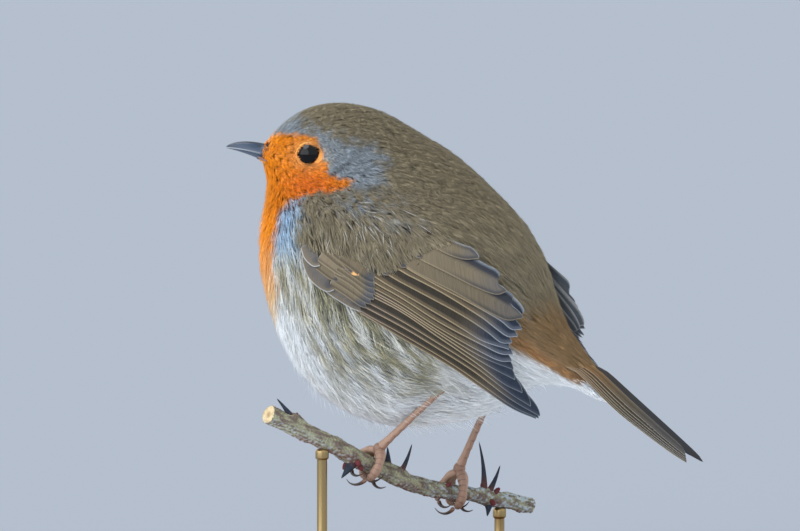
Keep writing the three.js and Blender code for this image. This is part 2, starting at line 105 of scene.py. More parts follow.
def plumage_distance(points):
    """Roughly the distance to the plumage's outer form: lumps joined smoothly, less the hollows."""
    nearest = np.full(points.shape[:-1], 1e3)
    for lump in LUMPS.values():
        nearest = blended(nearest, lump_distance(points, lump), lump[4])
    for hollow in HOLLOWS:
        nearest = -blended(-nearest, lump_distance(points, hollow), hollow[4])
    return nearest


def smooth(x, start, end):
    """0 before start, 1 past end, and a smooth cubic step between them, which may run either way."""
    s = np.clip((x - start) / (end - start), 0, 1)
    return s * s * (3 - 2 * s)


def mix(a, b, share):
    return a + (b - a) * share


def through(knots, t):
    """Points at t from 0 to 1 along a Catmull-Rom curve through the knots, which are evenly spaced in t."""
    knots = np.array(knots, float)
    x = np.clip(t, 0, 1) * (len(knots) - 1)
    i = np.minimum(x.astype(int), len(knots) - 2)
    f = (x - i)[..., None]
    run = np.vstack([2 * knots[0] - knots[1], knots, 2 * knots[-1] - knots[-2]])
    p0, p1, p2, p3 = (run[i + k] for k in range(4))
    bend = (2 * p0 - 5 * p1 + 4 * p2 - p3) * f**2 + (3 * p1 - p0 - 3 * p2 + p3) * f**3
    return 0.5 * (2 * p1 + (p2 - p0) * f + bend)


SPINE = [head_point(2, 0, -1), (-12, -1, 20), (0, 0, 4), (22, 0, -4), (38, 0, -13.5)]
SPINE_CAP = 0.08  # the share of the rays, at either end, that leave the spine from its very end
RAY_STEPS = 45


def swept(t, turn, distance):
    """The surface where a distance is 0. Rays from the spine fan from the bill, t = 0, to the tail, t = 1.

    Turn is the angle round the spine from the top through the bird's right. Each ray is walked out in steps
    of nine tenths of the distance that is left.
    """
    rearward = smooth(t, 0, 0.75)
    rear, right, up = np.moveaxis(axes(REAR_PITCH * rearward, HEAD_YAW * (1 - rearward)), -2, 0)
    across = np.sin(turn)[..., None] * right + np.cos(turn)[..., None] * up
    ray = np.sin(np.pi * t)[..., None] * across - np.cos(np.pi * t)[..., None] * rear
    origin = through(SPINE, (t - SPINE_CAP) / (1 - 2 * SPINE_CAP))
    reach = np.full(t.shape, 2.0)
    for _ in range(RAY_STEPS):
        reach = np.maximum(reach - 0.9 * distance(origin + reach[..., None] * ray), 0.1)
    return origin + reach[..., None] * ray


# How the folded wings lie on it. Each is a bowed sheet that rests on the flank, and its places are given as
# they are seen from the side, in x and z.

WING_BOW = {"half_span": 34.3, "crown": 4.7, "length": 0.43, "height": 0.436, "x": -7, "z": -1}
WING_PROUD = 0.6  # of the flank, where the sheet lies on it
WING_BLEND = 3  # width over which the bow runs into the flank
WING_OUTLINE = [
    (-21.9, 20), (-10.4, 24.6), (2.9, 23), (17.1, 16.2), (24.2, 11.5), (30.8, 3.3), (34.6, -2.7),
    (33.3, -7.2), (32.3, -12), (33.7, -19.9), (37.5, -26), (20, -15.4), (6.7, -7.5), (-10.5, 2.6),
    (-15.5, 5.5), (-19.5, 11.7),
]
SHOULDER = np.array([-18.0, 14.0])
WING_POSE = {-1: (0, 0, 0), 1: (-5, 3, 12)}  # degrees turned up, shift to the rear, degrees the fan is closed

# The side view's grid, 1 mm apart.
SIDE_X = np.linspace(-32, 48, 81)
SIDE_Z = np.linspace(-34, 36, 71)


def flank_table():
    """How far out the trunk's plumage reaches over the side view: walked in from 40 mm."""
    x, z = np.meshgrid(SIDE_X, SIDE_Z, indexing="ij")
    reach = np.full(x.shape, 40.0)
    for _ in range(25):
        reach -= np.maximum(plumage_distance(np.stack([x, -reach, z], -1)), 0)
    return reach


FLANK = flank_table()


def over_side(table, x, z):
    """A table of the side view read between its points."""
    i = np.clip((x - SIDE_X[0]) / (SIDE_X[1] - SIDE_X[0]), 0, len(SIDE_X) - 1.001)
    j = np.clip((z - SIDE_Z[0]) / (SIDE_Z[1] - SIDE_Z[0]), 0, len(SIDE_Z) - 1.001)
    a, b = i.astype(int), j.astype(int)
    u, v = i - a, j - b
    low = mix(table[a, b], table[a + 1, b], u)
    return mix(low, mix(table[a, b + 1], table[a + 1, b + 1], u), v)


def wing_reach(x, z):
    """How far out the outer face of a folded wing lies: a bow, or the flank where that is wider."""
    bow = WING_BOW
    far = (bow["length"] * (x - bow["x"])) ** 2 + (bow["height"] * (z - bow["z"])) ** 2
    sheet = np.sqrt(bow["crown"] ** 2 + far) - bow["half_span"]
    return -blended(sheet, -over_side(FLANK, x, z) - WING_PROUD, WING_BLEND)


def fanned(x, z, raised, folded):
    """Side-view places turned up about the shoulder: all by one angle, and the lower feathers, 15 to 38
    degrees below it, by a further one, which closes the fan."""
    dx, dz = x - SHOULDER[0], z - SHOULDER[1]
    below = np.degrees(np.arctan2(-dz, dx))
    turned = np.radians(raised + folded * smooth(below, 15, 38))
    c, s = np.cos(turned), np.sin(turned)
    return SHOULDER[0] + c * dx - s * dz, SHOULDER[1] + s * dx + c * dz


def held(x, z, side):
    """Side-view places on the left wing, where they are as a wing is held."""
    raised, back, folded = WING_POSE[side]
    x, z = fanned(x, z, raised, folded)
    return x + back, z


def released(x, z, side):
    """Side-view places on a wing as it is held, put back on the left wing: held undone in four steps."""
    at_x, at_z = x, z
    for _ in range(4):
        now_x, now_z = held(at_x, at_z, side)
        at_x, at_z = at_x + x - now_x, at_z + z - now_z
    return at_x, at_z


def inside_outline(x, y, outline):
    """How far places lie inside an outline, negative outside: the distance to its nearest side, signed by
    whether a ray from the place crosses the outline an odd number of times."""
    corners = np.array(outline, float)
    nearest = np.full(np.shape(x), 1e9)
    odd = np.zeros(np.shape(x), bool)
    for (ax, ay), (bx, by) in zip(corners, np.roll(corners, -1, 0)):
        ex, ey = bx - ax, by - ay
        s = np.clip(((x - ax) * ex + (y - ay) * ey) / (ex**2 + ey**2), 0, 1)
        nearest = np.minimum(nearest, np.hypot(x - ax - s * ex, y - ay - s * ey))
        if ay != by:
            odd ^= ((y < ay) != (y < by)) & (x < ax + (y - ay) * ex / ey)
    return np.where(odd, nearest, -nearest)


def on_left_wing(points):
    """Side-view places of points on either side, turned back to where they would be on the left wing."""
    x, z = points[..., 0], points[..., 2]
    left, right = released(x, z, -1), released(x, z, 1)
    return tuple(np.where(points[..., 1] < 0, a, b) for a, b in zip(left, right))


def on_wing(points, margin):
    """0 off the wings and 1 on them in side view, with soft edges of this width, and the left wing's x, z."""
    x, z = on_left_wing(points)
    return smooth(inside_outline(x, z, WING_OUTLINE), -margin, margin / 2), x, z


# Where the small soft coverts end on the large feathers of the wing.
COVERT_EDGE = [
    (-20, 15), (-17.5, 12.7), (-15, 11.2), (-12, 11.8), (-8, 11.3), (-4.6, 10.4), (-1.6, 9.4), (0.4, 7),
    (2, 6.6), (5, 7.2), (8, 8.8), (12, 12), (15, 13.6), (19, 14.5), (24, 12.5),
]


def past_coverts(x, z):
    """How far below the edge of the small coverts a side-view place on the left wing is."""
    return np.interp(x, *zip(*COVERT_EDGE)) - z


def coat_distance(points):
    """The plumage's distance, drawn out by up to 5 mm over each wing's sheet, so that the coat lies over the
    sheet, and let in by 1.2 mm past the coverts' edge, where the vanes are bare."""
    inside, wing_x, wing_z = on_wing(points, 4)
    x, z = points[..., 0], points[..., 2]
    proud = np.maximum(wing_reach(x, z) - over_side(FLANK, x, z), 0)
    proud = np.minimum(proud, 5) - 1.2 * smooth(past_coverts(wing_x, wing_z), -1, 2)
    sideways = smooth(np.abs(points[..., 1]), 4, 12) * smooth(wing_x, 26, 16)
    return plumage_distance(points) - inside * sideways * np.maximum(proud, 0)


# The form as a grid: rows from bill to tail and columns round it. Its slopes give the normals.
ROWS = 300
COLUMNS = 288


def ring_turns(columns):
    """Angles evenly round a ring, whose last place is next to its first."""
    return np.linspace(0, 2 * np.pi, columns, endpoint=False)


T, TURN = np.meshgrid(np.linspace(0, 1, ROWS), ring_turns(COLUMNS), indexing="ij")
FORM = swept(T, TURN, coat_distance)
SLOPE_T = np.gradient(FORM, axis=0) * (ROWS - 1)
SLOPE_TURN = (np.roll(FORM, -1, 1) - np.roll(FORM, 1, 1)) * COLUMNS / (4 * np.pi)
NORMAL = np.cross(SLOPE_TURN, SLOPE_T)
NORMAL[0] = -HEAD_AXES[0]
NORMAL[-1] = NORMAL[-3].mean(0)
NORMAL *= np.sign((NORMAL * (FORM - np.mean(SPINE, 0))).sum(-1).mean())
NORMAL /= np.linalg.norm(NORMAL, axis=-1, keepdims=True)


# The plumage's markings. Pigment in the barbs gives the orange, the browns and the slate. The marks run
# across feathers, so skin and feathers alike take their colour from their place on the body.


def linear(colour):
    """A hex sRGB colour as linear red, green and blue."""
    value = np.array([int(colour[i : i + 2], 16) for i in (1, 3, 5)]) / 255
    return np.where(value <= 0.04045, value / 12.92, ((value + 0.055) / 1.055) ** 2.4)


OLIVE = linear("#92866b")  # crown, back and wing coverts
RUMP_BROWN = linear("#967850")
RUMP_OCHRE = linear("#b98348")
ORANGE = linear("#f49500")
DEEP_ORANGE = linear("#ea6c00")
PALE_ORANGE = linear("#f2c287")
SLATE_BLUE = linear("#98a5b0")  # the band that borders the orange
PALE_BLUE = linear("#b0cbe2")  # where that band lies on the side of the breast
FLANK_BUFF = linear("#c0b896")
FLANK_DARK = linear("#5f655f")
BELLY_WHITE = linear("#f6f8f8")
BUFF = linear("#dfcba4")

# The orange face in head frame, forward and up: over the forehead and brow, down behind the eye, and round
# the tongue of orange under the ear.
FACE_EDGE = [
    (22, 6.5), (15.1, 6.3), (10.2, 6.3), (6.2, 5.6), (3.6, 3.4), (3.2, 0.5), (1.9, -2.6), (0.5, -4.6),
    (-3.9, -5.1), (-3.3, -6.7), (1.2, -7.7), (7.1, -8.6), (9.6, -9.8), (12.5, -11.5), (15, -14), (22, -20),
]
# The slate-blue border above and behind it.
BORDER_EDGE = [
    (22, 8), (13.5, 9.6), (9.4, 10.4), (6.9, 7.3), (0.8, 4.8), (-2.7, 3), (-8.8, 2.4), (-11.9, -1.2),
    (-10.2, -5.7), (-7.8, -7.8), (-3, -7.6), (4, -7), (22, -9),
]


def marked(colours, colour, share):
    """One colour, or colours, with another laid over it by a share that has the surface's shape."""
    return colours + (colour - colours) * np.clip(share, 0, 1)[..., None]


def patchy(points, scale, seed):
    """Smooth noise of about -1 to 1 with patches of a size: a sum of waves in directions drawn once."""
    draw = np.random.default_rng(seed)
    waves = draw.normal(size=(14, 3))
    waves *= (0.6 + 0.9 * draw.random((14, 1))) / np.linalg.norm(waves, axis=1, keepdims=True)
    phases = draw.random(14) * 2 * np.pi
    total = np.zeros(points.shape[:-1])
    for wave, phase in zip(waves, phases):
        total += np.sin(points @ wave * np.pi / scale + phase)
    return total / 3.2


def streaks(points, width, long, seed):
    """Noise in streaks of a width and length that run 60 degrees down to the rear on the sides."""
    x, y, z = np.moveaxis(points, -1, 0)
    across, along = 0.87 * x + 0.5 * z, 0.5 * x - 0.87 * z
    return patchy(np.stack([across / width, y / (2 * width), along / long], -1), 1, seed)


def plumage_colour(points, turn):
    """The colour of the plumage at points, by their place on the body and their turn round it. Each mark is
    laid over those before it, and its edges are smooth steps broken up by noise."""
    x, y, z = np.moveaxis(points, -1, 0)
    forward, _, up = in_head(points)
    wide = np.abs(y)
    under = 0.5 - 0.5 * np.cos(turn)  # 0 along the back, 1 along the belly
    mottle = patchy(points, 1.6, 21)
    streak = streaks(points, 0.6, 6, 22)
    broad = streaks(points, 2.0, 12, 23)
    colours = OLIVE * (1 + 0.07 * mottle[..., None])

    # The streaked flanks, the white belly and lower breast, and the rump with its ochre edge.
    wing, _, _ = on_wing(points, 2)
    flank = smooth(under + 0.03 * streak, 0.4, 0.56) * smooth(z, 24, 16) * smooth(x, 26, 18)
    flank = flank * (1 - 0.9 * wing)
    side = marked(FLANK_BUFF, FLANK_DARK, 0.8 * smooth(streak + 0.7 * broad, 0.0, 0.7))
    side = marked(side, BELLY_WHITE, 0.65 * smooth(broad, -0.25, -0.7))
    colours = marked(colours, side, flank)
    belly = smooth(under + 0.08 * broad, 0.82, 0.96) * smooth(z + 2 * streak, 3, -8)
    colours = marked(colours, BELLY_WHITE, belly)
    chest = smooth(x, -12, -22) * smooth(under, 0.5, 0.7) * smooth(z, -1, -11)
    colours = marked(colours, BELLY_WHITE, 0.85 * chest * smooth(streak, 0.9, 0.1))
    rump = smooth(x - 1.3 * z + 2 * mottle, 30, 44) * smooth(under, 0.6, 0.4)
    colours = marked(colours, RUMP_BROWN, rump)
    white_from = 0.49 - 0.35 * smooth(x, 44, 50)
    vent = smooth(x, 12, 24) * smooth(under - white_from, -0.03, 0.04)
    colours = marked(colours, BELLY_WHITE, vent)
    ochre_edge = np.exp(-(((under - white_from + 0.06) / 0.07) ** 2)) * smooth(x, 27, 34) * smooth(x, 49, 45)
    colours = marked(colours, RUMP_OCHRE, 0.7 * ochre_edge)

    # The slate border of the face, its pale end on the side of the breast, and slate wisps on the scapulars.
    fine = patchy(points, 0.7, 24)
    border = inside_outline(forward, up, BORDER_EDGE) + 0.9 * mottle + 0.7 * fine
    colours = marked(colours, SLATE_BLUE, 0.86 * smooth(border, -3.0, 2.4) * smooth(up, -9, -6))
    side = smooth(x + mottle, -17.5, -21.5) * smooth(z, 4, 12) * smooth(z, 27, 23)
    colours = marked(colours, PALE_BLUE, side)
    wisps = np.exp(-(((x + 3) / 7) ** 2) - ((z - 23) / 3) ** 2)
    wisps = wisps + 0.5 * np.exp(-(((x - 8) / 5) ** 2) - ((z - 18) / 2) ** 2)
    colours = marked(colours, SLATE_BLUE, 0.9 * wisps * smooth(streak, -0.3, 0.5) * (wide > 8))

    # The orange of face and bib: deeper on the cheek, paler round the eye and toward the bib's lower edge.
    half_bib = 22.8 * smooth(z, -17, 1) ** 0.5 - 2.2
    neck = 25 + 6 * smooth(y, 2, 8)  # the head's turn draws the orange up on the right
    bib = smooth(wide - half_bib + 0.8 * mottle + 0.5 * streak, 1.6, -1.4) * smooth(x, -12, -17)
    bib = bib * smooth(z - neck, 0, -5)
    face = smooth(inside_outline(forward, up, FACE_EDGE) + 0.35 * mottle, -0.7, 0.7)
    orange = np.maximum(face, bib)
    outer = 0.45 + 0.55 * smooth(wide - half_bib, -9, -3)
    warm = marked(ORANGE, PALE_ORANGE, 0.9 * outer * smooth(z, 15, -2))
    warm = marked(warm, BUFF, 0.8 * outer * smooth(z, 4, -8))
    cheek = np.exp(-(((forward - 6) / 7) ** 2) - ((up + 7) / 4.5) ** 2)
    warm = marked(warm, DEEP_ORANGE, 0.75 * cheek)
    round_eye = np.exp(-((np.hypot((forward - 6.9) / 1.15, up - 1) / 3.9) ** 4))
    warm = marked(warm, PALE_ORANGE, 0.35 * round_eye)
    colours = marked(colours, warm, orange)
    behind_eye = np.exp(-(((forward - 2.2) / 1.3) ** 2) - ((up - 0.3) / 2.6) ** 2)
    colours = marked(colours, BUFF, 0.55 * behind_eye * smooth(fine, -0.6, 0.6))
    # A short dark line in the ear coverts: painted shade of a gap between the feathers there.
    ear_gap_shade = np.exp(-(((up + 4 - 0.64 * (1.5 - forward)) / 0.45) ** 2))
    ear_gap_shade = ear_gap_shade * smooth(forward, -4, -2.6) * smooth(forward, 2.2, 1)
    return marked(colours, FLANK_DARK * 0.3, 0.75 * ear_gap_shade)


# Skin. The feathers grow from a thin skin with down on it, stretched over the body. It is one closed surface
# as far under the coat's form as the feathers are deep, and shows only between them.


def top_share(turn):
    """1 along the back, 0 along the belly."""
    return 0.5 + 0.5 * np.cos(turn)


def face_share(points):
    """1 on the face, 0 from the nape and the throat down."""
    forward, _, up = in_head(points)
    return smooth(forward, -9, 5) * smooth(up, -15, -3)


def coat_depth(t, turn, points):
    """The coat's depth in millimetres: thin on the face and over the tail, thickest under the belly."""
    depth = mix(4.6, 2.3, smooth(top_share(turn), 0.25, 0.7))
    depth = mix(depth, 1.1, face_share(points))
    wing, _, _ = on_wing(points, 3)
    depth = mix(depth, 3.2, wing)
    return mix(depth, 1.0, smooth(t, 0.72, 0.9)) * smooth(t, -0.05, 0.08) * smooth(t, 1.01, 0.96)


DEPTH = coat_depth(T, TURN, FORM)


def closed_values(grids):
    """Values on grids of rows and columns, listed for closed surfaces: one for the whole first row, one for
    each place on the rows between, and one for the whole last row."""
    count, _, _, size = grids.shape
    first, last = grids[:, 0].mean(1, keepdims=True), grids[:, -1].mean(1, keepdims=True)
    return np.concatenate([first, grids[:, 1:-1].reshape(count, -1, size), last], 1).reshape(-1, size)


def closed_faces(count, rows, columns):
    """Triangles of closed surfaces: a fan at each end, and two between neighbours on the closed rings."""
    ring, column = np.meshgrid(np.arange(rows - 3), np.arange(columns), indexing="ij")
    following = (column + 1) % columns
    a, b = 1 + ring * columns + column, 1 + ring * columns + following
    c, d = a + columns, b + columns
    ends = np.arange(columns)
    after = (ends + 1) % columns
    last = 1 + (rows - 2) * columns
    parts = [
        np.stack([0 * ends, 1 + after, 1 + ends], -1),
        np.stack([a, b, d], -1).reshape(-1, 3),
        np.stack([a, d, c], -1).reshape(-1, 3),
        np.stack([last - columns + ends, last - columns + after, last + 0 * ends], -1),
    ]
    one = np.concatenate(parts)
    return (one + (last + 1) * np.arange(count)[:, None, None]).reshape(-1, 3)


def ring_faces(rows, columns):
    """Triangles of a surface that closes round both ways, like a ring."""
    row, column = np.meshgrid(np.arange(rows), np.arange(columns), indexing="ij")
    over, after = (row + 1) % rows, (column + 1) % columns
    a, b, c, d = (r * columns + k for r, k in ((row, column), (row, after), (over, column), (over, after)))
    return np.concatenate([np.stack([a, b, d], -1).reshape(-1, 3), np.stack([a, d, c], -1).reshape(-1, 3)])


def add_piece(name, points, faces, material, colours=None, maps=(), angle=None):
    """A mesh in the stand's frame from points in the bird's, facing out, with its colours and named UV maps.
    Edges sharper than the angle, in degrees, are left hard."""
    corners = points[faces]
    if np.einsum("ij,ij->i", corners[:, 0], np.cross(corners[:, 1], corners[:, 2])).sum() < 0:
        faces = faces[:, ::-1]
    mesh = bpy.data.meshes.new(name)
    mesh.vertices.add(len(points))
    mesh.vertices.foreach_set("co", ((points + TRUNK_MIDDLE) / 1000).astype(np.float32).ravel())
    mesh.loops.add(faces.size)
    mesh.loops.foreach_set("vertex_index", faces.astype(np.int32).ravel())
    mesh.polygons.add(len(faces))
    mesh.polygons.foreach_set("loop_start", np.arange(0, faces.size, 3, dtype=np.int32))
    mesh.polygons.foreach_set("use_smooth", np.ones(len(faces), bool))
    mesh.update(calc_edges=True)
    if angle:
        mesh.set_sharp_from_angle(angle=np.radians(angle))
    if colours is not None:
        layer = mesh.color_attributes.new("plumage", "FLOAT_COLOR", "POINT")
        opaque = np.hstack([colours, np.ones((len(points), 1))])
        layer.data.foreach_set("color", opaque.astype(np.float32).ravel())
    for map_name, places in maps:
        layer = mesh.uv_layers.new(name=map_name)
        layer.data.foreach_set("uv", places[faces.ravel()].astype(np.float32).ravel())
    mesh.materials.append(material)
    piece = bpy.data.objects.new(name, mesh)
    bpy.context.scene.collection.objects.link(piece)
    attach(piece, "root")
    return piece


def closed_piece(name, grids, material, colours=None, maps=(), angle=None):
    """One piece of closed surfaces, from grids of points by surface, row and column, and like grids of
    colours and of UV places. Each surface's first and last rows draw together into its poles."""
    grids = np.asarray(grids)
    points, faces = closed_values(grids), closed_faces(*grids.shape[:3])
    if colours is not None:
        colours = closed_values(np.asarray(colours))
    maps = [(map_name, closed_values(np.asarray(places))) for map_name, places in maps]
    return add_piece(name, points, faces, material, colours, maps, angle)


def new_material(name):
    """A material with its node tree and its shader."""
    material = bpy.data.materials.new(name)
    material.use_nodes = True
    return material, material.node_tree, material.node_tree.nodes["Principled BSDF"]


def node(tree, kind, settings, links=()):
    """Add a node, set its inputs and properties by name, and join (output socket, input name) pairs to it."""
    made = tree.nodes.new(kind)
    for key, value in settings.items():
        if key in made.inputs:
            made.inputs[key].default_value = value
        else:
            setattr(made, key, value)
    for output, key in links:
        tree.links.new(output, made.inputs[key])
    return made


def tinted_material(name, roughness, specular):
    """A material that takes its colour from the piece's own colours, with its node tree and its shader."""
    material, tree, shader = new_material(name)
    colour = node(tree, "ShaderNodeVertexColor", {"layer_name": "plumage"})
    tree.links.new(colour.outputs["Color"], shader.inputs["Base Color"])
    shader.inputs["Roughness"].default_value = roughness
    shader.inputs["Specular IOR Level"].default_value = specular
    return material, tree, shader


# Down over skin: the softest of plumage, quite matt, and darker than the feathers' tips for want of light.
down, _, _ = tinted_material("down_and_skin", 0.9, 0.3)
# Every second row and column of the form is enough for it.
HALVED = np.ix_(np.append(np.arange(0, ROWS - 1, 2), ROWS - 1), np.arange(0, COLUMNS, 2))
SKIN = (FORM - NORMAL * DEPTH[..., None])[HALVED]
# The skin takes the plumage's colours at 0.8 of their strength: painted shade, for the light that the coat
# keeps from it.
SKIN_COLOUR = (plumage_colour(FORM, TURN) * 0.8)[HALVED]
skin = closed_piece("skin", [SKIN], down, [SKIN_COLOUR])
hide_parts("head", "neck", "trunk", "thigh_left", "thigh_right")


# The coat. Each small feather is a tuft of loose barbs that start together in the skin, spread to the width
# of its tip and lie back along the body over the tufts behind. They are shortest round the bill and eyes.

def over_form(table, t, turn):
    """A table over the plumage's form read between its points; turn closes round."""
    i = np.clip(t, 0, 1) * (ROWS - 1)
    j = np.mod(turn / (2 * np.pi), 1) * COLUMNS
    a, b = np.minimum(i.astype(int), ROWS - 2), j.astype(int) % COLUMNS
    u, v = i - a, j - np.floor(j)
    if table.ndim == 3:
        u, v = u[..., None], v[..., None]
    c = (b + 1) % COLUMNS
    return mix(mix(table[a, b], table[a + 1, b], u), mix(table[a, c], table[a + 1, c], u), v)


def solid_box(node_name):
    """A solid's lowest and highest corners in the bird's frame."""
    return tuple(np.array(corner) * 1000 - TRUNK_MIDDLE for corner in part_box(node_name))


def eye_on(node_name):
    """An eye's middle and radius from its solid, and the axes ahead, up and out of its opening."""
    low, high = solid_box(node_name)
    middle = (low + high) / 2
    _, left, _ = in_head(middle)
    out = -np.sign(left) * HEAD_AXES[1]
    return middle, (high - low).mean() / 2, -HEAD_AXES[0], HEAD_AXES[2], out


EYES = {"eye_left": eye_on("eye_left"), "eye_right": eye_on("eye_right")}
OPENING = (3.05, 2.6)  # half width and half height of the open lids


def parted_by_eyes(points):
    """Points moved aside round each eye's opening: the cube of their radius, in openings, grows by 1."""
    for middle, _, ahead, above, out in EYES.values():
        away = points - middle
        across, over, outward = away @ ahead, away @ above, away @ out
        radius = np.maximum(np.hypot(across / OPENING[0], over / OPENING[1]), 1e-3)
        grown = (radius**3 + 1) ** (1 / 3) / radius - 1
        near = smooth(outward, 0, 1.5) * smooth(radius, 4, 2.5) * grown
        points = points + (near * across)[..., None] * ahead + (near * over)[..., None] * above
    return points


def lie(points, turn):
    """How strongly the feathers turn from running along the body to hanging down it."""
    wing, _, _ = on_wing(points, 3)
    sides = 4 * top_share(turn) * (1 - top_share(turn))
    body = 1 - smooth(in_head(points)[2], -16, -8)
    return body * sides * mix(0.35, 0.8, wing) * smooth(points[..., 0], 34, 18)


def tuft_sizes(t, turn, points):
    """A tuft's length, the half width of its tip, and the width of a barb, in millimetres."""
    top = smooth(top_share(turn), 0.3, 0.65)
    face = face_share(points)
    head = 1 - smooth(in_head(points)[2], -6, -16)
    rear = smooth(t, 0.7, 0.85)
    length = mix(mix(mix(11.5, 8.0, top), mix(5.0, 4.6, top), head), 3.0, face)
    length = mix(length, 7, rear)
    spread = mix(mix(mix(2.1, 1.5, top), 1.0, head), 0.55, face)
    barb = mix(mix(mix(0.23, 0.22, top), 0.18, head), 0.13, face)
    return length, spread, barb


BARBS = 12  # in a tuft
BARB_ROWS = 4  # steps along a barb, root and tip among them
STRAY = {"count": 900, "length": 9.0, "spread": 2.4, "barb": 0.11, "barbs": 3}  # long hairs that stand proud
COVER = 5.8  # layers of barbs over the skin
BAKE_SPREAD = 0.003  # of the bake, the patch that one tuft's barbs share
rng = np.random.default_rng(11)


def roots(density):
    """Places strewn evenly over the form by a density per square millimetre: a walk through its sum."""
    area = np.linalg.norm(np.cross(SLOPE_T, SLOPE_TURN), axis=-1) * 2 * np.pi / (ROWS - 1) / COLUMNS
    running = np.cumsum((density * area)[:-1].ravel())
    count = int(running[-1])
    at = np.searchsorted(running, (np.arange(count) + rng.random(count)) * running[-1] / count)
    i, j = np.divmod(at, COLUMNS)
    t = (i + rng.random(count)) / (ROWS - 1)
    turn = (j + rng.random(count)) * 2 * np.pi / COLUMNS
    return t, turn


def strewn():
    """Roots of all tufts. Their density is the cover over the area that a tuft's barbs hide, six tenths of
    their length by their width, and falls to none where the wing's bare vanes lie close on the body."""
    length, _, barb = tuft_sizes(T, TURN, FORM)
    density = COVER / (BARBS * length * barb * 0.6)
    x, z = on_left_wing(FORM)
    under_vanes = smooth(inside_outline(x, z, WING_OUTLINE), 0.5, 2) * smooth(past_coverts(x, z), -3.5, -1.5)
    off_body = wing_reach(FORM[..., 0], FORM[..., 2]) - np.abs(FORM[..., 1])
    return roots(density * (1 - under_vanes * smooth(off_body, 1.7, 0.9)))


def unit(vectors):
    """Vectors scaled to length 1."""
    return vectors / np.maximum(np.linalg.norm(vectors, axis=-1, keepdims=True), 1e-9)


def barb_grids(middle, out, width):
    """Three-sided barbs along their middle lines: at each step two lower corners half a width to either side
    and a ridge 0.4 of it out. The width swells to full at a third of the barb and closes at its tip."""
    side = unit(np.cross(out, unit(np.gradient(middle, axis=-2))))
    profile = np.interp(np.linspace(0, 1, middle.shape[-2]), [0, 0.3, 0.75, 1], [0.3, 1, 0.8, 0])
    width = (width * profile)[..., None, None]
    corner = np.array([-0.5, 0, 0.5])[:, None]
    ridge = np.array([0, 0.4, 0])[:, None]
    return middle[..., None, :] + width * (corner * side[..., None, :] + ridge * out[..., None, :])


def barb_values(grid, colours, bake_x, bake_y):
    """Points, colours and bake places of barbs, listed barb by barb, from values at their steps."""
    patch = np.stack(np.broadcast_arrays(bake_x, bake_y), -1)
    colours = np.broadcast_to(colours[..., None, :], grid.shape)
    maps = np.broadcast_to(patch[..., None, :], (*grid.shape[:-1], 2))
    return tuple(v.reshape(-1, *grid.shape[-3:-1], v.shape[-1]) for v in (grid, colours, maps))


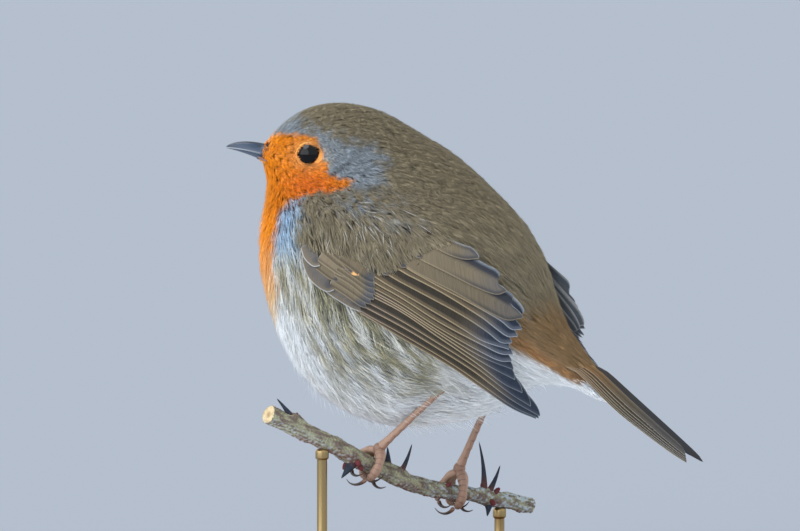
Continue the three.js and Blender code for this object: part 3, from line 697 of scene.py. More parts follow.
def strands(t, turn, stray):
    """Barbs of the tufts rooted at t and turn, as grids of their points, colours and places in the bake.

    A barb's middle line runs over the form from its root: on by its length, and aside by the tuft's spread,
    which opens with the way to the power 0.8. It climbs out of the skin by the way to the power 0.55, so that
    its tip lies on the form. Stray ones are few, long and pale, and stand a little proud.
    """
    points, normal = over_form(FORM, t, turn), over_form(NORMAL, t, turn)
    length, spread, barb = tuft_sizes(t, turn, points)
    barbs = STRAY["barbs"] if stray else BARBS
    if stray:
        length, spread, barb = (STRAY[key] + 0 * length for key in ("length", "spread", "barb"))
    along_t, along_turn = over_form(SLOPE_T, t, turn), over_form(SLOPE_TURN, t, turn)
    dot = lambda a, b: (a * b).sum(-1)
    wide = lambda values: values[:, None, None]
    down_slope = np.array([0, 0, -1.0]) + normal[..., 2:] * normal
    ahead = unit(unit(along_t) + lie(points, turn)[:, None] * down_slope)
    aside = np.cross(normal, ahead)
    swing = rng.normal(0, 0.12, len(t))
    ahead, aside = (
        ahead * np.cos(swing)[:, None] + aside * np.sin(swing)[:, None],
        aside * np.cos(swing)[:, None] - ahead * np.sin(swing)[:, None],
    )
    tt, ta, aa = dot(along_t, along_t), dot(along_t, along_turn), dot(along_turn, along_turn)
    scale = np.maximum(tt * aa - ta**2, 1e-6)

    def steps(direction):
        """A millimetre along a direction on the form, as a step of t and of turn."""
        by_t, by_turn = dot(direction, along_t), dot(direction, along_turn)
        return (aa * by_t - ta * by_turn) / scale, (tt * by_turn - ta * by_t) / scale

    (t_on, turn_on), (t_by, turn_by) = steps(ahead), steps(aside)
    size = 1 + rng.normal(0, 0.12, len(t))
    u = np.linspace(-1, 1, barbs) + rng.normal(0, 0.12, (len(t), barbs))
    reach = (length * size)[:, None] * (1 - 0.3 * u**2) * (1 + rng.normal(0, 0.1, u.shape))
    s = np.linspace(0, 1, BARB_ROWS)
    curl = rng.normal(0, 0.05, u.shape)
    on = reach[..., None] * s
    by = wide(spread) * u[..., None] * (0.15 + 0.85 * s**0.8) + (reach * curl)[..., None] * s**2
    path_t = np.clip(wide(t) + wide(t_on) * on + wide(t_by) * by, 0.001, 0.999)
    path_turn = wide(turn) + wide(turn_on) * on + wide(turn_by) * by
    tip = (0.95 + rng.normal(0, 0.04, (len(t), 1)) + rng.normal(0, 0.04, u.shape))[..., None]
    height = tip * s**0.55 - 0.05 + stray * (0.25 + 0.5 * wide(smooth(points[..., 2], -10, -20))) * s**1.5
    surface, out = over_form(FORM, path_t, path_turn), over_form(NORMAL, path_t, path_turn)
    depth = over_form(DEPTH, path_t, path_turn)
    middle = parted_by_eyes(surface - out * (depth * (1 - height))[..., None])
    width = wide(barb * size) * (0.8 + 0.4 * rng.random((*u.shape, 1)))
    grid = barb_grids(middle, out, width)

    tone = (1 + rng.normal(0, 0.04, (len(t), 1)) + rng.normal(0, 0.13, u.shape))[..., None, None]
    colour = plumage_colour(middle[:, :, -1], path_turn[:, :, -1])[:, :, None, :]
    # Painted shade: each barb's colour is darker toward its root, where the tufts over it keep the light off,
    # and a little lighter at its tip.
    shade = np.interp(s, [0, 0.5, 1], [0.75, 0.97, 1.03])[:, None]  # darker toward the root
    if stray:
        colour = mix(colour, BELLY_WHITE, 0.65)
    bake_x = wide(turn / (2 * np.pi)) + BAKE_SPREAD * (np.arange(barbs) / barbs - 0.5)[:, None]
    bake_y = wide(t) + BAKE_SPREAD * (s - 0.5)
    return barb_values(grid, colour * tone * shade, bake_x, bake_y)


# Contour feathers: keratin barbs, loosely hooked together, which are matt with a faint sheen seen edge on.
feathers, _, shader = tinted_material("contour_feathers", 0.75, 0.3)
shader.inputs["Sheen Weight"].default_value = 0.15
root_t, root_turn = strewn()
top = top_share(root_turn)
left = root_turn >= np.pi
face = root_t < 0.24  # of the way from bill to tail
neck = ~face & (root_t < 0.42)
body = root_t >= 0.42
COAT = {
    "coat_face": face,
    "coat_crown_left": neck & (top >= 0.55) & left,
    "coat_crown_right": neck & (top >= 0.55) & ~left,
    "coat_breast": neck & (top < 0.55),
    "coat_back_left": body & (top >= 0.5) & left,
    "coat_back_right": body & (top >= 0.5) & ~left,
    "coat_belly_left": body & (top < 0.5) & left,
    "coat_belly_right": body & (top < 0.5) & ~left,
}
# The stray hairs start on the scapulars and low on the belly.
hair = rng.permutation(len(root_t))
hair_x, _, hair_z = np.moveaxis(over_form(FORM, root_t[hair], root_turn[hair]), -1, 0)
scapular = np.exp(-(((hair_x + 4) / 6) ** 2) - ((hair_z - 22) / 2.5) ** 2)
below = smooth(top[hair], 0.3, 0.15) * smooth(hair_z, -10, -20) * smooth(hair_x, 30, 20)
hair = hair[rng.random(len(hair)) < 0.3 * scapular + 0.2 * below][: STRAY["count"]]
for name, chosen in [*COAT.items(), ("coat_stray_hairs", hair)]:
    grids, colours, patches = strands(root_t[chosen], root_turn[chosen], name == "coat_stray_hairs")
    closed_piece(name, grids, feathers, colours, [("OFBake", patches)])


# The line of the perch, which the feet and their shanks are set by. The twig rests on the stand's two rods
# and falls from its thick end to its thin one in a slight bow.

PERCH_ORIGIN = np.array([-7, -10, 0])
PERCH_HEADING = np.radians(64.4)
PERCH_AHEAD = np.array([np.cos(PERCH_HEADING), np.sin(PERCH_HEADING), 0])
PERCH_RADII = (2.45, 1.95)  # at its two ends
PERCH_STATIONS = np.array([-32, -15, -3, 12, 28, 48])
PERCH_LEVELS = np.array([-25.6, -32.6, -38.2, -44.1, -47.1, -50.9])
PERCH_POINTS = PERCH_ORIGIN + PERCH_STATIONS[:, None] * PERCH_AHEAD + PERCH_LEVELS[:, None] * [0, 0, 1]
PERCH_LINE = through(PERCH_POINTS, np.linspace(0, 1, 2001))
PERCH_RUN = (PERCH_LINE - PERCH_ORIGIN) @ PERCH_AHEAD
PERCH_COURSE = unit(np.gradient(PERCH_LINE, axis=0))
LAST_ROW = len(PERCH_RUN) - 1


def perch_row(row):
    """The twig's centre and course at rows of its line, read between them."""
    at = lambda table: np.stack([np.interp(row, np.arange(len(table)), table[:, k]) for k in range(3)], -1)
    return at(PERCH_LINE), unit(at(PERCH_COURSE))


def perch_at(station):
    """The twig's centre, course and radius at a distance along it in plan."""
    row = np.interp(station, PERCH_RUN, np.arange(LAST_ROW + 1))
    return *perch_row(row), mix(*PERCH_RADII, row / LAST_ROW)


def around_perch(station, turn, distance):
    """A point off the twig's bark: turned in degrees about it, from its top toward the bird's breast side."""
    point, course, radius = perch_at(station)
    front = unit(np.cross([0, 0, 1], course))
    top = np.cross(course, front)
    turn = np.radians(turn)[..., None] if np.ndim(turn) else np.radians(turn)
    return point + (radius + distance)[..., None] * (np.cos(turn) * top + np.sin(turn) * front)


# Thighs. Loose feathers hang round each leg as a short sleeve and end just past its ankle. They grow on the
# leg, under the coat of the belly.

LEGS = {
    "left": {"hip": (3, -13, -6), "ankle": (12.7, -12, -19.2), "along": -1.9, "turn": -25, "lift": 0.5},
    "right": {"hip": (6, 12, -5), "ankle": (16.9, 9.5, -17.4), "along": 23.8, "turn": -12, "lift": 2},
}
FOOT_GAP = 0.3  # between the bark and the skin of the feet
PAD_RADIUS = 1.45


def foot_ball(leg):
    """The middle of the pad under a foot: on the twig, clear of its bark."""
    return around_perch(leg["along"], leg["turn"], np.float64(FOOT_GAP + PAD_RADIUS + leg["lift"]))


SLEEVE = {"tufts": 900, "barbs": 8, "reach": 7.5, "top": 5.4, "ankle": 0.7, "past": 6.0}


def thigh_sleeve(leg, shank):
    """Barbs of tufts rooted on a cone from hip to ankle: each runs down the cone's side, past the ankle along
    the shank's direction, and lifts off it by a depth that thins to the ankle."""
    hip, ankle = np.array(leg["hip"], float), np.array(leg["ankle"], float)
    thigh = unit(ankle - hip)
    long = np.linalg.norm(ankle - hip)
    side = unit(np.cross(unit(thigh + shank), (0, 0, 1)))
    over = np.cross(side, unit(thigh + shank))
    count, barbs = SLEEVE["tufts"], SLEEVE["barbs"]
    root = (rng.random(count) ** 0.7)[:, None, None]
    angle = rng.random(count)[:, None, None] * 2 * np.pi
    u = np.linspace(-1, 1, barbs)[:, None] + rng.normal(0, 0.2, (count, barbs, 1))
    s = np.linspace(0, 1, BARB_ROWS)
    reach = SLEEVE["reach"] * (1 - 0.25 * u**2) * (1 + rng.normal(0, 0.15, u.shape))
    farthest = long + SLEEVE["past"] * (0.25 + 0.75 * rng.random(u.shape) ** 2)
    along = np.minimum(root * long + reach * s, mix(root * long, farthest, s))
    share = np.clip(along / long, 0, 1)
    beyond = np.clip((along - long) / SLEEVE["past"], 0, 1)
    cone = mix(SLEEVE["top"], SLEEVE["ankle"], share**0.8) - 0.5 * beyond
    lift = mix(1.8, 1.0, share) * s**0.7 * (0.6 + 0.6 * rng.random(u.shape)) * (1 - 0.6 * beyond)
    fan = angle + u * 1.1 * (0.2 + 0.8 * s) / np.maximum(cone, 1)
    out = np.cos(fan)[..., None] * side + np.sin(fan)[..., None] * over
    centre = hip + np.minimum(along, long)[..., None] * thigh + np.maximum(along - long, 0)[..., None] * shank
    middle = centre + (cone + lift)[..., None] * out
    grid = barb_grids(middle, out, 0.16 * np.ones(u.shape))
    tone = 1 + rng.normal(0, 0.12, u.shape)
    base = marked(BELLY_WHITE, BUFF, 0.2 * share)
    base = marked(base, FLANK_BUFF, 0.8 * smooth(beyond, 0, 0.3))
    # Painted shade: each barb of the sleeve is darker toward its root, under the barbs over it.
    shade = np.interp(s, [0, 0.5, 1], [0.8, 0.95, 1.0])  # darker toward the root
    colours = base * (tone * shade)[..., None]
    return barb_values(grid, colours, angle / 7 + BAKE_SPREAD * u, root + BAKE_SPREAD * s)


for word, leg in LEGS.items():
    grids, colours, patches = thigh_sleeve(leg, unit(foot_ball(leg) - leg["ankle"]))
    closed_piece(f"coat_thigh_{word}", grids, feathers, colours, [("OFBake", patches)])


# Wing feathers. The large feathers of each folded wing are vanes on a central shaft. They overlap like
# shingles, the innermost on top, so that of most only a strip of the outer web and its pale fringe shows.

WING_GAP = 0.3  # of the vanes outside the sheet that they lie on
SHINGLE = 0.09  # fall of a vane per millimetre in from its outer edge
VANE_THICKNESS = 0.04
COVERT_LIFT = 0.3  # of the large coverts over the feathers that they cover
VANE_ROWS = 44
VANE_COLUMNS = 13  # of each face

# Each large feather of the left wing in side view: its outer edge from base to tip, and its width.
WING_FEATHERS = [
    ("tertial", [(8, 17.5), (13, 14.6), (17.6, 12.4), (21.5, 11.1), (24.6, 11.3)], 3.0),
    ("tertial", [(3, 15.4), (10, 12), (17.1, 8.6), (24.6, 4.5), (28.7, 2.9), (31.2, 3.6)], 5.6),
    ("tertial", [(2, 12.4), (8, 9.8), (14.8, 6.3), (20.4, 3.3), (26, -0.4), (31, -3.1), (34.8, -2.6)], 6.2),
    ("secondary", [(1, 12), (9, 9), (17, 4.6), (23.2, 1.0), (29.5, -3.1), (32.1, -5.3), (34.4, -5.3)], 6.2),
    ("secondary",
     [(0, 11.2), (8, 8.2), (17.1, 3.5), (25.3, -2.1), (28.5, -4.9), (31.2, -7), (33.5, -7)], 6.2),
    ("secondary",
     [(-2, 10.4), (8, 5.8), (17.2, 0.8), (22.9, -2.8), (26.9, -5.9), (29.7, -8.4), (32.2, -8.6)], 6.2),
    ("secondary", [(-2, 8.6), (8, 3.5), (17.2, -2.1), (22, -5.4), (26.1, -8.2), (31.5, -10.1)], 6),
    ("secondary", [(-2, 7.4), (8, 2.3), (17.1, -3.8), (25.5, -8.9), (29.5, -11.1), (32.3, -11.3)], 6),
    ("secondary", [(-2, 6.2), (8, 1.0), (17, -5.2), (25.5, -10.8), (29.3, -12.8), (32, -12.9)], 5.6),
    ("primary", [(-2, 5.4), (8, 0.2), (17, -6.0), (25.5, -11.9), (32.2, -14.9)], 5),
    ("primary", [(-2, 4.8), (8, -0.4), (17, -6.7), (25.5, -13.2), (32.4, -17.3)], 5),
    ("primary", [(-3, 4.4), (8.2, -1.1), (16.9, -7.5), (23.1, -12.5), (29.5, -18), (33.8, -20.4)], 5),
    ("primary", [(-4, 3.2), (8.1, -3.2), (16.7, -8.9), (23.7, -14.2), (30.9, -20.4), (35.4, -23.6)], 4.2),
    ("primary", [(-5, 2.2), (8.1, -4.6), (16.7, -10.3), (23.7, -15.6), (30.9, -21.8), (37.3, -26.0)], 3.6),
    ("primary",
     [(-6, 1.8), (-0.3, -1.7), (7.8, -6.2), (16.4, -11.8), (24.2, -17.9), (31.5, -23.7), (37, -26.5)], 2.8),
    ("primary",
     [(-10.5, 3.6), (0.9, -2.9), (7.8, -7.2), (16.3, -12.7), (24.2, -18.8), (31, -24), (36.4, -26.6)], 2.4),
]
WING_COVERTS = [
    ("covert", [(1.5, 17), (6, 14.4), (10.2, 11.8), (12.2, 11.4)], 3.4),
    ("covert", [(-2, 15.5), (3, 12.4), (7.4, 9.4), (9, 9.1)], 3.4),
    ("covert", [(-5, 14), (-0.5, 10.6), (3.6, 7.6), (5, 7.3)], 3.2),
    ("spotted", [(-11, 12.5), (-7.2, 10.2), (-3.6, 7.5), (-1.7, 7.2)], 2.8),
    ("median", [(-12.5, 12.2), (-9.8, 10.6), (-6.6, 8.8), (-4.6, 8.4)], 3.0),
    ("median", [(-13.5, 10.6), (-10, 8.8), (-7, 7.2), (-5, 6.8)], 3.0),
    ("median", [(-14.5, 9.2), (-11.5, 7.4), (-9, 6), (-7, 5.6)], 2.8),
    ("covert", [(-8, 10.8), (-4, 8.6), (0, 6.0), (1.7, 5.5)], 3.4),
    ("covert", [(-8, 9.6), (-4, 7.3), (0.4, 4.6), (2.3, 4.2)], 3.2),
    ("covert", [(-8, 8.4), (-4, 6.2), (0.6, 3.3), (2.5, 2.8)], 3.2),
    ("covert", [(-8.5, 7.2), (-4, 5), (0.2, 2.1), (2.2, 1.5)], 3),
    ("covert", [(-9, 6), (-4.5, 3.6), (-0.3, 1), (1.5, 0.4)], 2.8),
    ("covert", [(-9.5, 4.8), (-5, 2.4), (-1.4, 0.1), (0.3, -0.5)], 2.6),
    ("alula", [(-18.5, 13.4), (-16.8, 10.8), (-14.2, 9.1), (-12, 9.2)], 2.2),
    ("alula", [(-17.8, 11.4), (-15.6, 7.0), (-12.6, 4.4), (-9.6, 3.2), (-7.7, 3.7)], 4.0),
    ("primary_covert", [(-13, 4.8), (-8, 1.9), (-3.4, -0.5), (-1.0, -1.3)], 2.2),
]


def vane_places(edge, width, taper):
    """A vane's places in the plane of its edge: along the edge's curve, crowded toward the tip, and in from
    it by the width, which closes like an arc over the last stretch, as long as the width times the taper.
    With them come each place's distances from the outer edge, from the inner edge and from the tip."""
    along = 1 - (1 - np.linspace(0, 1, VANE_ROWS)) ** 1.5
    curve = through(edge, along)
    course = unit(np.gradient(curve, axis=0))
    inward = np.stack([-course[:, 1], course[:, 0]], -1)
    run = np.concatenate([[0], np.cumsum(np.linalg.norm(np.diff(curve, axis=0), axis=1))])
    to_tip = run[-1] - run
    closing = np.clip(1 - to_tip / (taper * width), 0, 1)
    across = width * (1 - closing**2) ** 0.7 * smooth(run, -0.3 * run[-1], 0.12 * run[-1])
    near = across[:, None] * np.linspace(0, 1, VANE_COLUMNS) ** 1.6
    places = curve[:, None] + inward[:, None] * near[..., None]
    return places, near, across[:, None] - near, to_tip[:, None] + 0 * near


def both_faces(outer, inner):
    """Values of a closed vane: its outer face by rows and columns, then its inner face back the other way."""
    return np.concatenate([outer, inner[:, ::-1]], 1)


FRINGE = linear("#a5967a")  # of the outer webs
FRINGE_TIP = linear("#9fa5aa")
WEB_BUFF = linear("#7c6d55")
WEB_OLIVE = linear("#6e6453")
WEB_DARK = linear("#38342e")
SLATE = linear("#4a4f58")
DARK_SLATE = linear("#292f39")
PINK_SHEEN = linear("#7d6d6d")
BUFF_SPOT = linear("#d9a468")
WHITE_EDGE = linear("#c6c9cb")
CREAM = linear("#b9ad90")
PALE_TIP = linear("#aab2ba")
UNDERSIDE_AND_LIGHT_SLATE = linear("#74808c")


def vane_colour(kind, near, inner, to_tip):
    """A feather's colours from the distances from its outer edge, its inner edge and its tip: a web that
    turns slate toward the tip and dark past the outer web's band, and a pale fringe along its edges."""
    length = to_tip.max()
    tipward = smooth(to_tip, 0.36 * length, 0.08 * length)
    edge = np.minimum(near, inner)
    if kind.startswith("tertial"):
        # The far wing's tertials get a stronger pale edge: painted light, which lifts a wing that lies in
        # shade.
        pale = 0.85 if kind.endswith("far") else 0.4
        colours = marked(WEB_OLIVE, SLATE, 0.45 * tipward)
        colours = marked(colours, DARK_SLATE, 0.85 * smooth(near, 3.3, 4.0))
        rim = smooth(edge, 1.2, 0.4) * smooth(to_tip, 0.6 * length, 0.2 * length)
        colours = marked(colours, DARK_SLATE, 0.55 * rim)
        colours = marked(colours, PALE_TIP, pale * smooth(inner, 0.3, 0.14))
        return marked(colours, FRINGE, 0.4 * smooth(near, 0.24, 0.08))
    if kind in ("secondary", "primary"):
        # A painted sheen: the primaries are tinted pinkish toward their bases.
        pink_sheen = 0.6 * smooth(to_tip, 0.5 * length, 0.95 * length) * (kind == "primary")
        tip = SLATE if kind == "secondary" else mix(SLATE, DARK_SLATE, 0.7)
        web = marked(marked(WEB_BUFF, PINK_SHEEN, pink_sheen), tip, tipward)
        band = 0.65 if kind == "secondary" else 0.4
        colours = marked(web, WEB_DARK, smooth(near, band - 0.25, band + 0.2) * (1 - tipward))
        colours = marked(colours, DARK_SLATE, smooth(near, band - 0.2, band + 0.6) * tipward)
        # A thin dark line just inside the pale fringe: painted shadow of the gap between overlapping
        # feathers.
        colours = marked(colours, WEB_DARK, 0.8 * np.exp(-(((near - 0.3) / 0.1) ** 2)) * (1 - tipward))
        shown = (0.6 - 0.3 * tipward * (kind == "primary")) * smooth(edge, 0.19, 0.07)
        return marked(colours, marked(FRINGE, FRINGE_TIP, tipward), shown)
    if kind in ("covert", "spotted", "median"):
        slate_from = 1.6 if kind == "median" else 4.2
        colours = marked(WEB_OLIVE, SLATE, 0.85 * smooth(to_tip, slate_from, 0.4 * slate_from))
        colours = marked(colours, WEB_DARK, 0.55 * np.exp(-(((near - 0.45) / 0.25) ** 2)))
        if kind == "spotted":
            colours = marked(colours, BUFF_SPOT, smooth(to_tip, 2.4, 1.6) * smooth(near, 1.4, 0.9))
        return marked(colours, FRINGE, 0.3 * smooth(edge, 0.22, 0.1))
    if kind.startswith("rectrix"):
        # The right half of the tail is painted dark slate and its cream fringes faded: painted shade of the
        # half of the roof that is turned away from the light.
        far_side_shade = 0.88 if "right" in kind else 0.0
        colours = marked(WEB_OLIVE * 0.78, SLATE, 0.6 * smooth(to_tip, 0.45 * length, 0.1 * length))
        colours = marked(colours, RUMP_OCHRE * 0.6, 0.7 * smooth(to_tip, 0.35 * length, 0.75 * length))
        shaft = 0.5 * np.exp(-(((near - 0.5 * near.max()) / 0.5) ** 2)) * ("middle" in kind)
        colours = marked(colours, WEB_DARK, shaft)
        colours = marked(colours, DARK_SLATE, far_side_shade)
        if "middle" not in kind:
            colours = marked(colours, WEB_DARK, 0.75 * smooth(near, 0.3, 0.55))
        pale = edge if "left" in kind else near
        return marked(colours, CREAM, (0.45 - 0.4 * far_side_shade) * smooth(pale, 0.2, 0.07))
    colours = marked(SLATE, WEB_OLIVE, 0.5 + 0.3 * smooth(near, 1.6, 0.4))
    colours = marked(colours, DARK_SLATE, 0.5 * smooth(to_tip, 5, 1.5) * smooth(near, 0.3, 1.2))
    return marked(colours, WHITE_EDGE, 0.6 * smooth(near, 0.2, 0.08))


def toned_by(tree, shader, pattern, dark, light):
    """Multiply a shader's colour by a noise pattern, whose middle range is spread from dark to light."""
    spread = {"From Min": 0.3, "From Max": 0.7, "To Min": dark, "To Max": light}
    tone = node(tree, "ShaderNodeMapRange", spread, [(pattern.outputs["Fac"], "Value")])
    colour = shader.inputs["Base Color"].links[0].from_socket
    toned = node(tree, "ShaderNodeVectorMath", {"operation": "SCALE"},
                 [(colour, "Vector"), (tone.outputs["Result"], "Scale")])
    tree.links.new(toned.outputs["Vector"], shader.inputs["Base Color"])


def raised_by(tree, shader, pattern, strength, depth):
    """Bump a shader's surface by a noise pattern, to a depth in millimetres."""
    bump = node(tree, "ShaderNodeBump", {"Strength": strength, "Distance": depth / 1000},
                [(pattern.outputs["Fac"], "Height")])
    tree.links.new(bump.outputs["Normal"], shader.inputs["Normal"])


# Flight feathers: barbs hooked into a smooth matt web. They are 0.25 mm apart, and show as fine slanting
# streaks. Their map has 10 mm to its unit, so the noise has 40 to the unit.
vane_finish, tree, shader = tinted_material("flight_feathers", 0.7, 0.0)
places = node(tree, "ShaderNodeUVMap", {"uv_map": "barbs"})
stretched = node(tree, "ShaderNodeMapping", {"Scale": (2.5, 40, 1)}, [(places.outputs["UV"], "Vector")])
barbs = node(tree, "ShaderNodeTexNoise", {"Scale": 1.0, "Detail": 2, "Roughness": 0.5},
             [(stretched.outputs["Vector"], "Vector")])
toned_by(tree, shader, barbs, 0.86, 1.14)
raised_by(tree, shader, barbs, 0.35, 0.05)


BARB_UNIT = 10  # millimetres to a unit of the barbs' map
BARB_SLANT = 0.9  # their run toward the tip per millimetre from the shaft
BARB_SHIFT = 3.7  # units from one feather's barbs to the next one's, so that no two are alike


def vane_maps(near, to_tip, shaft, cell, cells):
    """Two maps of a vane: its own square of the bake, and places across and along its barbs, which leave the
    shaft toward the tip."""
    column, row = cell % cells, cell // cells
    inset = lambda share: 0.06 + 0.88 * share
    bake_x = (column + inset(near / near.max())) / cells
    bake_y = (row + inset(to_tip / to_tip.max())) / cells
    slanted = to_tip + BARB_SLANT * np.abs(near - shaft)
    barbs = np.stack([near / BARB_UNIT, slanted / BARB_UNIT + cell * BARB_SHIFT], -1)
    return np.stack([bake_x, bake_y], -1), barbs


SHAFTS = {"tertial": 3.0, "secondary": 1.9, "primary": 1.1}  # in from the outer edge


def vane_piece(name, vanes, surface):
    """One piece of many vanes. Surface gives the points of plane places at a height off the sheet. Each vane
    falls away from its outer edge and has a fine ridge along its shaft."""
    grids, colours, bakes, barb_maps = [], [], [], []
    cells = int(np.ceil(np.sqrt(len(vanes))))
    for cell, (kind, edge, width) in enumerate(vanes):
        taper = 2.2 if kind == "primary" else 1.1
        places, near, inner, to_tip = vane_places(edge, width, taper)
        shaft = SHAFTS.get(kind, width * 0.45)
        ridge = 0.025 * np.exp(-(((near - shaft) / 0.16) ** 2))
        fall = 0.01 if kind == "rectrix_left_middle" else SHINGLE
        heights = ridge - fall * near + 0.25 * (kind == "alula")
        grids.append(both_faces(surface(places, heights), surface(places, heights - VANE_THICKNESS)))
        tint = 1 + rng.normal(0, 0.06)
        outer_face = vane_colour(kind, near, inner, to_tip) * tint
        # The inner faces, turned to the body, are paler slate with white edges: partly the feathers' own
        # greyer underside, partly painted light that lifts faces in shade.
        inner_face = marked(outer_face, UNDERSIDE_AND_LIGHT_SLATE, 0.6)
        inner_face = marked(inner_face, WHITE_EDGE, 0.9 * smooth(np.minimum(near, inner), 0.3, 0.12))
        bake, barbs = vane_maps(near, to_tip, shaft, cell, cells)
        colours.append(both_faces(outer_face, inner_face))
        bakes.append(both_faces(bake, bake))
        barb_maps.append(both_faces(barbs, barbs))
    maps = [("OFBake", bakes), ("barbs", barb_maps)]
    return closed_piece(name, grids, vane_finish, colours, maps, angle=50)


def on_sheet(side, lift):
    """The surface of one wing: side-view places turned as it is held, out at the sheet's reach, but sunk up
    to 3.5 mm into the coat where the small coverts lie over them."""
    def surface(places, heights):
        past = past_coverts(places[..., 0], places[..., 1])
        covered = 2.0 * smooth(past, 3, -3) + 1.5 * smooth(past, -3, -8)
        x, z = held(places[..., 0], places[..., 1], side)
        return np.stack([x, side * (wing_reach(x, z) + WING_GAP + lift + heights - covered), z], -1)
    return surface


for word, side in (("left", -1), ("right", 1)):
    shown = WING_FEATHERS
    # The paler edges of the right wing's tertials are painted light on a wing that lies in shade.
    if side > 0:  # the right wing's innermost is under the coat, and the next two have paler edges
        shown = [(kind + "_far" * (kind == "tertial"), *rest) for kind, *rest in WING_FEATHERS[1:]]
    flight = vane_piece(f"wing_{word}_flight", shown, on_sheet(side, 0))
    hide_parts(f"wing_{word}_secondaries", f"wing_{word}_primaries")
    coverts = vane_piece(f"wing_{word}_large_coverts", WING_COVERTS, on_sheet(side, COVERT_LIFT))
    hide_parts(f"wing_{word}_coverts")


# Tail. Twelve feathers fold together under a shallow roof, the middle pair on top, and the outer ones are a
# little longer, which notches the end. Their bases lie in the feathers of the rump.

TAIL_START = np.array([28, 0, -0.2])
TAIL_PITCH = 39.5
TAIL_ROOF = 0.14  # its fall per millimetre to either side
# Reach to the side and length of the six feathers of each half, middle feather first. The left middle one
# lies on top. Below, a feather's outer edge: shares of its length, and of its reach there.
TAIL_FEATHERS = {
    "left": [(3.6, 54.4), (5.2, 55.2), (6.5, 55.8), (7.6, 56.3), (8.5, 56.6), (9.2, 56)],
    "right": [(3.6, 54.8), (5, 55.4), (6.2, 55.9), (7.3, 56.4), (8.4, 56.6), (9.3, 56)],
}
TAIL_EDGES = {
    "left": [(0.03, 0.35), (0.3, 0.76), (0.62, 1), (0.8, 0.84), (0.93, 0.64), (1, 0.46)],
    "right": [(0.03, 0.35), (0.3, 0.76), (0.6, 0.9), (0.92, 1), (1, 0.8)],
}


def tail_surface(side):
    """The tail's roof on one side: along, across and up turned to the tail's pitch, sunk at its base."""
    rear, right, up = axes(TAIL_PITCH, 0)
    def surface(places, heights):
        along, across = places[..., :1], side * places[..., 1:]
        sunk = 2.4 * smooth(along, 25, 15)
        lift = heights[..., None] - TAIL_ROOF * np.abs(across) + 0.3 * (side > 0) - sunk
        return TAIL_START + along * rear + across * right + lift * up
    return surface


def tail_feathers(word):
    """The feathers of one side, each with its outer edge and its width."""
    rows = []
    for number, (wide, length) in enumerate(TAIL_FEATHERS[word]):
        edge = [(along * length, -share * wide) for along, share in TAIL_EDGES[word]]
        kind = f"rectrix_{word}" + "_middle" * (number == 0)
        rows.append((kind, edge, 4.0 if kind == "rectrix_left_middle" else 6.4))
    return rows


for word, side in (("left", 1), ("right", -1)):
    vanes = vane_piece(f"tail_{word}", tail_feathers(word), tail_surface(side))
    if word == "left":
        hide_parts("tail")


# Eyes. A dark glossy ball fills each opening, and a ring of fine feathers, pale at the lids' edge, closes in
# round it and slips under the plumage of the face.

# A live eye's wet cornea, which is a mirror with a small sharp highlight, and the lids' matt short feathers.
eye_gloss, _, _ = tinted_material("wet_eye", 0.05, 0.28)
lid_skin, _, _ = tinted_material("lid_feathers", 0.8, 0.2)
IRIS = linear("#0c0808")
PUPIL = linear("#040405")
LID_PALE = linear("#cd9b68")
LID_DARK = linear("#2b221d")
LID_REACH = 0.95  # radians that the lids reach back over the ball under the feathers
LID_RISE = 0.16  # of their edge over the ball
LID_CLEAR = 0.06  # between the lids and the ball
LID_COLUMNS = 72
LID_ROWS = 16  # of each face


def eyeball(middle, radius, ahead, above, out):
    """A ball and its colours: the middle and the radius times the direction at a polar angle from the
    opening's middle and an angle round it, with the pupil within half a radian."""
    polar, angle = np.meshgrid(np.linspace(0, np.pi, 40), ring_turns(64), indexing="ij")
    away = (
        np.cos(polar)[..., None] * out
        + (np.sin(polar) * np.cos(angle))[..., None] * ahead
        + (np.sin(polar) * np.sin(angle))[..., None] * above
    )
    return middle + radius * away, marked(IRIS, PUPIL, smooth(polar, 0.55, 0.45))


def eyelids(middle, radius, ahead, above, out):
    """The lids and their colours: an outer face that leaves the oval opening, rises to a rim and goes back
    over the ball by the lids' reach, and an inner face just inside the ball, back to the opening."""
    turn = ring_turns(LID_COLUMNS)[:, None]
    across, over = OPENING[0] * np.cos(turn), OPENING[1] * np.sin(turn)
    half = np.hypot(across, over)
    toward = (across * ahead + over * above) / half
    back = np.linspace(0, 1, LID_ROWS)
    polar = np.arcsin(np.minimum(half / radius, 0.98)) + LID_REACH * back**1.3
    rim = np.sin(np.pi / 2 * np.minimum(2.5 * back, 1)) * (1 - 0.5 * back)
    upper = radius + LID_CLEAR + LID_RISE * rim * (1 + 0.4 * smooth(np.sin(turn), 0.2, 1))
    spread = both_faces(polar, polar)[..., None]
    reach = both_faces(upper, 0.95 * radius + 0 * upper)[..., None]
    lids = middle + reach * (np.cos(spread) * out + np.sin(spread) * toward[:, None])
    back = np.concatenate([back, back[::-1]])[:, None]
    warm = mix(LID_PALE, ORANGE, 0.6 * smooth(np.cos(turn), -0.1, 0.8)[..., None])
    tints = mix(LID_DARK, np.broadcast_to(warm, lids.shape), smooth(back, 0.02, 0.1))
    # The lids' feathers take the plumage's colours at 0.45 of their strength: painted shade, to match the
    # coat round them, whose barbs shade one another.
    plumage_in_shade = 0.45 * plumage_colour(lids, np.full(lids.shape[:2], np.pi / 2))
    tints = mix(tints, plumage_in_shade, smooth(back, 0.15, 0.27))
    tints = tints * (1 + 0.2 * patchy(lids, 0.35, 31)[..., None])
    if np.cross(ahead, above) @ out > 0:
        return lids[:, ::-1], tints[:, ::-1]
    return lids, tints


